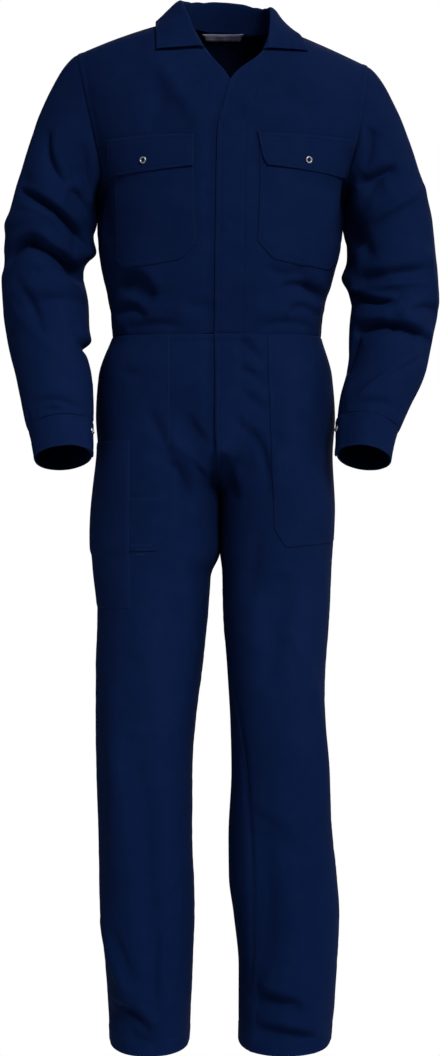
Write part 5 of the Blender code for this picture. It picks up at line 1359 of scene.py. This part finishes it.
def make_hip(side):
    """Hip pocket, sewn in at the waist and the side, and the right one's rule pocket."""
    right = side == "right"
    surface, out = partial(leg, "front", side), partial(leg_out, "front", side)
    pocket = make_patch(
        side + "_hip_pocket", (surface, partial(leg_place, side, HIP_EDGES[side]), out),
        HIP_LINES[side], 240 + MORE[side] // 2,
        partial(pocket_shape, 0.0006, POCKET_LINE if right else None), POCKET_MARKS,
        "trousers", {"near": TWO_ROWS, "bottom": TWO_ROWS}, 0.0, 0.6)
    pocket.settle("hip_pocket_" + side, [side + "_trouser_front"], "laid")
    if not right:
        return
    for start, end in TACKS:
        share = np.linspace(0, 1, 40)[:, None]
        places = np.array(start) * (1 - share) + np.array(end) * share
        found = [pocket.closest(*place) for place in places]
        depth = np.pad([pocket.laid[at][1] for at in found], 4, "edge")
        depth = np.convolve(depth, np.ones(9) / 9, "valid")
        sew("tacks", pack(places[:, 0], depth, -places[:, 1]),
            np.array([pocket.out[at] for at in found]), 0.0003)
    one = TWO_ROWS[:1]
    rule = make_patch(
        "side_rule_pocket", (surface, partial(leg_place, side, RULE_EDGE), out), RULE_LINES,
        260, rule_shape, POCKET_MARKS, "trousers", {"near": one, "bottom": one, "top": one},
        0.0, 0.25)
    rule.settle("rule_pocket", ["right_hip_pocket"], "laid")


# --- collar and cuffs
def collar(t, place):
    """The collar: t is 0 at the neck seam and 1 at its edge, place goes right to left."""
    def line(name, proud=0.0008):
        row = along(COLLAR, name + "_row", place)
        return raised(body, row, body_u(row, along(COLLAR, name + "_x", place)),
                      along(COLLAR, name + "_lift", place) + proud)

    seam, roll, edge = line("seam"), line("roll"), line("edge", 0.0022)
    turn = unit(edge - seam) * np.minimum(
        ROLL_SPREAD, np.linalg.norm(roll - seam, axis=-1, keepdims=True))
    t = t[..., None]
    stand = curve(seam, roll, roll - seam, turn, t / ROLL_SHARE)
    fall = curve(roll, edge, turn, edge - roll, (t - ROLL_SHARE) / (1 - ROLL_SHARE))
    return np.where(t < ROLL_SHARE, stand, fall)


def make_collar():
    one = [BAND_STITCH]
    t, place = np.meshgrid(np.linspace(0, 1, 60), np.linspace(0, 1, 120), indexing="ij")
    t, place = spaced(collar, t, place, (one, one), 1)
    t, place = spaced(collar, t, place, (BARE_EDGE, one), 0)
    points = collar(t, place)
    panel = Panel(points, unit(grid_normals(points)))
    near, top = panel.near, panel.top
    panel.add(pressed(panel.edge("near", "far", "bottom"), 0.0007, 0.0018),
              panel.grooves("near", one), panel.grooves("far", one),
              panel.grooves("bottom", one), panel.pucker("bottom", 0.010, 300),
              ease((t - FALL_START) / 0.3) * (0.0009 * soft_noise(near, top, 0.045, 301)
                                        + 0.0004 * soft_noise(near, top, 0.018, 302)))
    rolled = 0.5 * np.exp(-((t - ROLL_SHARE - 0.06) / 0.05) ** 2)
    panel.rub(panel.worn("bottom", 303, BAND_PALE),
              rolled * (0.6 + 0.4 * soft_noise(near, top, 0.01, 304)))
    panel.finish("convertible_collar", wall=BAND_CLOTH)
    first = nearest(t[:, 0], FALL_START)
    k = nearest(panel.bottom[:, near.shape[1] // 2], BAND_STITCH)
    j = nearest(near[k], BAND_STITCH)
    for line in (np.s_[first:k, j], np.s_[first:k, -j - 1], np.s_[k, j:-j]):
        sew("collar", panel.laid[line], panel.out[line])
    panel.settle("collar", ["right_front", "left_front", "upper_back"], laid=True)


def make_cuff(side):
    """A band whose front end laps over its back end on the inside of the wrist."""
    def band(drop, t, lift=0.0):
        proud = CUFF_LAP * ease((t - (1 - CUFF_TAB)) / CUFF_BEND) + lift
        return tube(side, drop, CUFF_START - t * CUFF_TURNS, proud)[0]

    one, seed = [BAND_STITCH], 320 + MORE[side]
    drop, t = np.meshgrid(np.linspace(CUFF_SEAM_DROP[side] + 0.0003, CUFF_END_DROP, 40),
                          np.linspace(0, 1, 80), indexing="ij")
    drop, t = spaced(band, drop, t, (one, one), 1)
    drop, t = spaced(band, drop, t, (TWO_ROWS, one), 0)
    points = band(drop, t)
    panel = Panel(points, unit(band(drop, t, 0.001) - points))
    near, top, far = panel.near, panel.top, panel.far
    edge = panel.edge("far", "bottom", "top")
    panel.add(pressed(edge, 0.0006, 0.0018), panel.grooves("top", TWO_ROWS),
              panel.grooves("bottom", one), panel.grooves("far", one),
              panel.pucker("top", 0.012, seed), panel.pucker("bottom", 0.010, seed + 1),
              (0.0007 * soft_noise(near, top * 0.6, 0.024, seed + 2)
               + 0.0003 * soft_noise(near, top, 0.011, seed + 3)) * ease(far / 0.004),
              -0.0003 * soft_noise(near * 0.2, top, 0.006, seed + 5) * ease(edge / 0.004))
    panel.rub(panel.worn("bottom", seed, BAND_PALE), panel.worn("far", seed + 4))
    panel.finish(side + "_cuff", wall=BAND_CLOTH)
    panel.sew("sleeves", "top", TWO_ROWS)
    panel.sew("sleeves", "bottom", one)
    panel.sew("sleeves", "far", one)
    drop = np.array((CUFF_SEAM_DROP[side] * 2 + CUFF_END_DROP) / 3)
    at, beyond = [tube(side, drop, np.array(CUFF_SNAP_W), CUFF_LAP + lift)[0]
                  for lift in (0.0004, 0.0100)]
    snap = make_snap(side + "_cuff_snap", "snap_cuff_" + side, at, unit(beyond - at))
    panel.settle("cuff_" + side, [side + "_sleeve"], with_pieces=[snap], laid=True)


# --- label and snaps
def make_label():
    """Plain strip sewn inside the back neck, with bare ends."""
    x, down = np.meshgrid(np.linspace(-1, 1, 56), np.linspace(0, 1, 22))
    across = LABEL_X + (LABEL_HALF[0] + (LABEL_HALF[1] - LABEL_HALF[0]) * down) * x
    level = LABEL_DROP[0] + (LABEL_DROP[1] - LABEL_DROP[0]) * down
    row = halve(SHOULDER_ROW + 0.01, 2 * SHOULDER_ROW - 6.0, across.shape,
                lambda row: body_drop(row, across) <= level)
    u = body_u(row, across)
    rim = np.minimum((1 - abs(x)) * LABEL_HALF[0], (0.5 - abs(down - 0.5)) * 0.016)
    lift = (CLOTH + LABEL_OFF + 0.0005 * ease(rim / 0.004)
            + 0.0004 * soft_noise(across, level, 0.012, 361))
    inward = -body_out(row, u) / NUDGE
    panel = Panel(body(row, u) + inward * lift[..., None], inward)
    panel.finish("back_neck_label", wall=LABEL_CLOTH, finish=TAPE)
    panel.settle("neck_label", ["upper_back"], slot="label_tape")


def make_snap(name, node, centre, normal):
    """Ring snap: a turned ring round a little of the cloth, standing on the flap."""
    bm = bmesh.new()
    verts = [bm.verts.new((x * SNAP_RADIUS, 0.0, z * SNAP_HEIGHT)) for x, z in SNAP_PROFILE]
    edges = [bm.edges.new(pair) for pair in zip(verts, verts[1:])]
    bmesh.ops.spin(bm, geom=verts + edges, cent=(0, 0, 0), axis=(0, 0, 1), dvec=(0, 0, 0),
                   angle=2 * math.pi, steps=SNAP_STEPS, use_merge=True, use_duplicate=False)
    bmesh.ops.remove_doubles(bm, verts=bm.verts, dist=1e-6)
    for face in bm.faces:
        face.smooth = True
        middle = face.calc_center_median()
        if math.hypot(middle.x, middle.y) < SNAP_CLOTH * SNAP_RADIUS:
            face.material_index = 1
    side = unit(np.cross(normal, [0.0, 0.0, 1.0]))
    up = np.cross(normal, side)
    for vert in bm.verts:
        x, y, z = vert.co
        vert.co = centre + side * x + up * y + normal * (z + SNAP_LIFT)
    bmesh.ops.recalc_face_normals(bm, faces=bm.faces)
    mesh = into_mesh(bm, bpy.data.meshes.new(name))
    mesh.materials.append(NICKEL)
    mesh.materials.append(SUNK)
    item = new_item(name, mesh)
    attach(item, "root")
    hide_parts(node)
    return item


# --- materials
class Look:
    """Short hand for a material's nodes."""

    def __init__(self, name):
        self.material = bpy.data.materials.new(name)
        self.material.use_nodes = True
        self.tree = self.material.node_tree
        self.place = self.node("ShaderNodeTexCoord").outputs["Object"]

    def put(self, socket, value):
        if isinstance(value, bpy.types.NodeSocket):
            self.tree.links.new(value, socket)
        else:
            socket.default_value = (*value, 1.0) if socket.type == "RGBA" else value

    def node(self, kind, inputs=None, **settings):
        made = self.tree.nodes.new(kind)
        for key, value in settings.items():
            setattr(made, key, value)
        for key, value in (inputs or {}).items():
            self.put(made.inputs[key], value)
        return made

    def noise(self, where, scale, detail=2.0, rough=0.5):
        return self.node("ShaderNodeTexNoise", {
            "Vector": where, "Scale": scale, "Detail": detail, "Roughness": rough}).outputs[0]

    def spread(self, value, low, high, out_low=0.0, out_high=1.0):
        return self.node("ShaderNodeMapRange", {
            "Value": value, "From Min": low, "From Max": high,
            "To Min": out_low, "To Max": out_high}).outputs[0]

    def mixed(self, share, first, second):
        made = self.node("ShaderNodeMix", {0: share}, data_type="RGBA")
        self.put(made.inputs[6], first)
        self.put(made.inputs[7], second)
        return made.outputs[2]

    def waves(self, where, scale, way, **others):
        inputs = {"Vector": where, "Scale": scale}
        inputs.update({key.replace("_", " "): value for key, value in others.items()})
        return self.node("ShaderNodeTexWave", inputs, wave_type="BANDS",
                         bands_direction=way).outputs["Fac"]

    def mapped(self, where, **how):
        return self.node("ShaderNodeMapping", {"Vector": where, **how}).outputs[0]

    def sums(self, operation, first, second):
        return self.node("ShaderNodeMath", {0: first, 1: second}, operation=operation).outputs[0]

    def bump(self, height, strength, distance, under=None):
        inputs = {"Height": height, "Strength": strength, "Distance": distance}
        if under is not None:
            inputs["Normal"] = under
        return self.node("ShaderNodeBump", inputs).outputs[0]

    def give(self, **values):
        shader = self.tree.nodes["Principled BSDF"]
        for key, value in values.items():
            self.put(shader.inputs[key.replace("_", " ")], value)
        return self.material


def make_twill(name, shade):
    """Navy cotton twill: diagonal lines, slightly uneven yarn, paler where it is worn, and
    painted shade: darker towards the bottom of the legs, and darker overall by the share shade.
    """
    look = Look(name)
    threads = look.node("ShaderNodeUVMap", uv_map="threads").outputs[0]
    lines = look.waves(look.mapped(threads, Rotation=(0, 0, math.radians(63))), 520.0, "X",
                       Distortion=0.6, Detail=1.0, Detail_Scale=2.0)
    yarn = look.noise(look.mapped(threads, Scale=(1400.0, 260.0, 1.0)), 1.0)
    dye = look.noise(look.place, 7.0, 3.0)
    rub = look.noise(look.place, 42.0, 4.0, 0.6)
    grain = look.noise(look.place, 620.0, 2.0, 0.6)
    # painted shade: z, by which the cloth darkens towards the bottom of the legs
    height = look.node("ShaderNodeSeparateXYZ", {"Vector": look.place}).outputs["Z"]
    pale = look.sums("MULTIPLY",
                     look.node("ShaderNodeAttribute", attribute_name="worn").outputs["Fac"],
                     look.spread(grain, 0.3, 0.7, 0.10, 0.35))
    base = (0.0018, 0.0064, 0.0305)
    for share, colour in (
            (look.spread(dye, 0.3, 0.7), (0.0023, 0.0080, 0.0370)),
            (look.spread(rub, 0.42, 0.75, 0.0, 0.30), (0.0044, 0.0108, 0.0400)),
            (look.spread(grain, 0.35, 0.75, 0.0, 0.35), (0.0014, 0.0040, 0.0180)),
            (look.spread(lines, 0.0, 1.0, 0.25, 0.0), (0.0012, 0.0036, 0.0160)),
            # painted shade: darker and less red from z -0.90 down to -1.25, on the lower legs
            (look.spread(height, -0.90, -1.25, 0.0, 0.36), (0.0002, 0.0030, 0.0170)),
            (pale, (0.0080, 0.0160, 0.0500)),
            # painted shade: the share shade darkens the whole cloth, for the copy on the inner
            # faces
            (shade, (0.0004, 0.0005, 0.0016))):
        base = look.mixed(share, base, colour)
    fine = look.bump(look.sums("ADD", lines, yarn), 0.35, 0.00010)
    return look.give(
        Base_Color=base, Roughness=look.spread(grain, 0.3, 0.7, 0.78, 0.92),
        Normal=look.bump(rub, 0.25, 0.0012, fine), Sheen_Weight=0.004, Sheen_Roughness=0.4,
        Sheen_Tint=(0.35, 0.5, 1.0), Specular_IOR_Level=0.012)


def make_tape():
    """Grey woven tape."""
    look = Look("grey_tape")
    threads = look.node("ShaderNodeUVMap", uv_map="threads").outputs[0]
    ribs = look.waves(threads, 420.0, "Y", Distortion=0.4)
    dirt = look.noise(look.place, 160.0, 3.0)
    base = look.mixed(look.spread(dirt, 0.3, 0.7), (0.170, 0.166, 0.255), (0.235, 0.228, 0.340))
    base = look.mixed(look.spread(ribs, 0.0, 1.0, 0.3, 0.0), base, (0.112, 0.109, 0.175))
    return look.give(Base_Color=base, Roughness=look.spread(dirt, 0.3, 0.7, 0.75, 0.88),
                     Specular_IOR_Level=0.1, Normal=look.bump(ribs, 0.3, 0.0001))


def plain_look(name, noise, dark, light, dull, bump, **others):
    """A material whose colour, roughness and relief follow one noise."""
    look = Look(name)
    grain = look.noise(look.place, *noise)
    return look.give(Base_Color=look.mixed(look.spread(grain, 0.3, 0.7), dark, light),
                     Roughness=look.spread(grain, 0.3, 0.7, *dull),
                     Normal=look.bump(grain, *bump), **others)


# the inside copy carries painted shade, 0.72 of the way to near black
TWILL, INSIDE_PAINTED_SHADE = make_twill("navy_twill", 0.0), make_twill("navy_twill_inside_painted_shade", 0.72)
THREAD, TACK_THREAD = [
    plain_look(name, (900.0, 2.0), dark, light, (0.55, 0.7), (0.3, 0.0001),
               Specular_IOR_Level=0.03) for name, dark, light in (
        ("navy_thread", (0.0024, 0.0070, 0.0280), (0.0038, 0.0105, 0.0400)),
        ("blue_thread", (0.010, 0.020, 0.070), (0.018, 0.034, 0.110)))]
TAPE = make_tape()
NICKEL = plain_look("satin_nickel", (900.0, 3.0, 0.6), (0.20, 0.20, 0.23), (0.32, 0.32, 0.35),
                    (0.30, 0.48), (0.15, 0.0001), Metallic=1.0)
SUNK = plain_look("cloth_in_ring", (800.0, 2.0, 0.6), (0.0016, 0.0032, 0.0130),
                  (0.0036, 0.0080, 0.0300), (0.8, 0.95), (0.3, 0.0002),
                  Specular_IOR_Level=0.04)

# --- all the parts
for side in ("right", "left"):
    make_front(side)
    make_chest(side)
    make_sleeve(side)
    make_cuff(side)
    make_trouser_front(side)
    make_trouser_back(side)
    make_hip(side)
make_back()
make_label()
make_collar()
for group, rows in SEWING.items():
    make_sewing("sewing_" + group, rows, TACK_THREAD if group == "tacks" else THREAD)


# --- floor, light and camera
def make_floor():
    """A plain pale floor; the studio around it is as pale, so that it has no edge."""
    bm = bmesh.new()
    bmesh.ops.create_grid(bm, x_segments=8, y_segments=6, size=1.0)
    bmesh.ops.scale(bm, verts=bm.verts, vec=(3.0, 1.1, 1.0))
    bmesh.ops.translate(bm, verts=bm.verts, vec=(0.0, -0.5, -HEM_DROP - 0.150))
    mesh = into_mesh(bm, bpy.data.meshes.new("floor"))
    mesh.shade_smooth()
    mesh.materials.append(plain_look("pale_paper", (60.0, 3.0), (0.93, 0.93, 0.93),
                                     (0.95, 0.95, 0.95), (0.85, 0.95), (0.1, 0.0005)))
    new_item("floor", mesh)


def make_light(name, strength, soft, place):
    """A large soft light a long way off, aimed at the middle from the given side."""
    data = bpy.data.lights.new(name, "SUN")
    data.energy = strength
    data.angle = math.radians(soft)
    item = new_item(name, data)
    item.location = place
    x, y, z = place
    item.rotation_euler = (math.atan2(math.hypot(x, y), z), 0.0, math.atan2(-y, -x) - math.pi / 2)


make_floor()
make_light("key", 3.95, 20.0, (1.10, -2.3, 1.9))
make_light("fill", 0.5, 60.0, (-2.0, -2.2, 0.3))
make_light("back", 1.4, 60.0, (0.8, 2.4, 1.4))
make_light("side", 0.9, 30.0, (3.0, -0.8, 0.6))
world = bpy.data.worlds.new("studio")
bpy.context.scene.world = world
world.use_nodes = True
nodes, links = world.node_tree.nodes, world.node_tree.links
seen = nodes.new("ShaderNodeMapRange")      # 0.17 as light, and white where it is seen
seen.inputs["To Min"].default_value = 0.17
links.new(nodes.new("ShaderNodeLightPath").outputs["Is Camera Ray"], seen.inputs["Value"])
nodes["Background"].inputs["Color"].default_value = (1.0, 1.0, 1.0, 1.0)
links.new(seen.outputs["Result"], nodes["Background"].inputs["Strength"])
bpy.context.scene.view_settings.view_transform = "Standard"

camera = bpy.data.cameras.new("camera")
camera.sensor_width = 36.0
camera.lens = camera.sensor_width / 2 / (0.806 / 4.0)
camera.clip_end = 50.0
viewer = new_item("camera", camera)
viewer.location = (0.0, -4.0, -0.73)
viewer.rotation_euler = (math.radians(90), 0.0, 0.0)
bpy.context.scene.camera = viewer
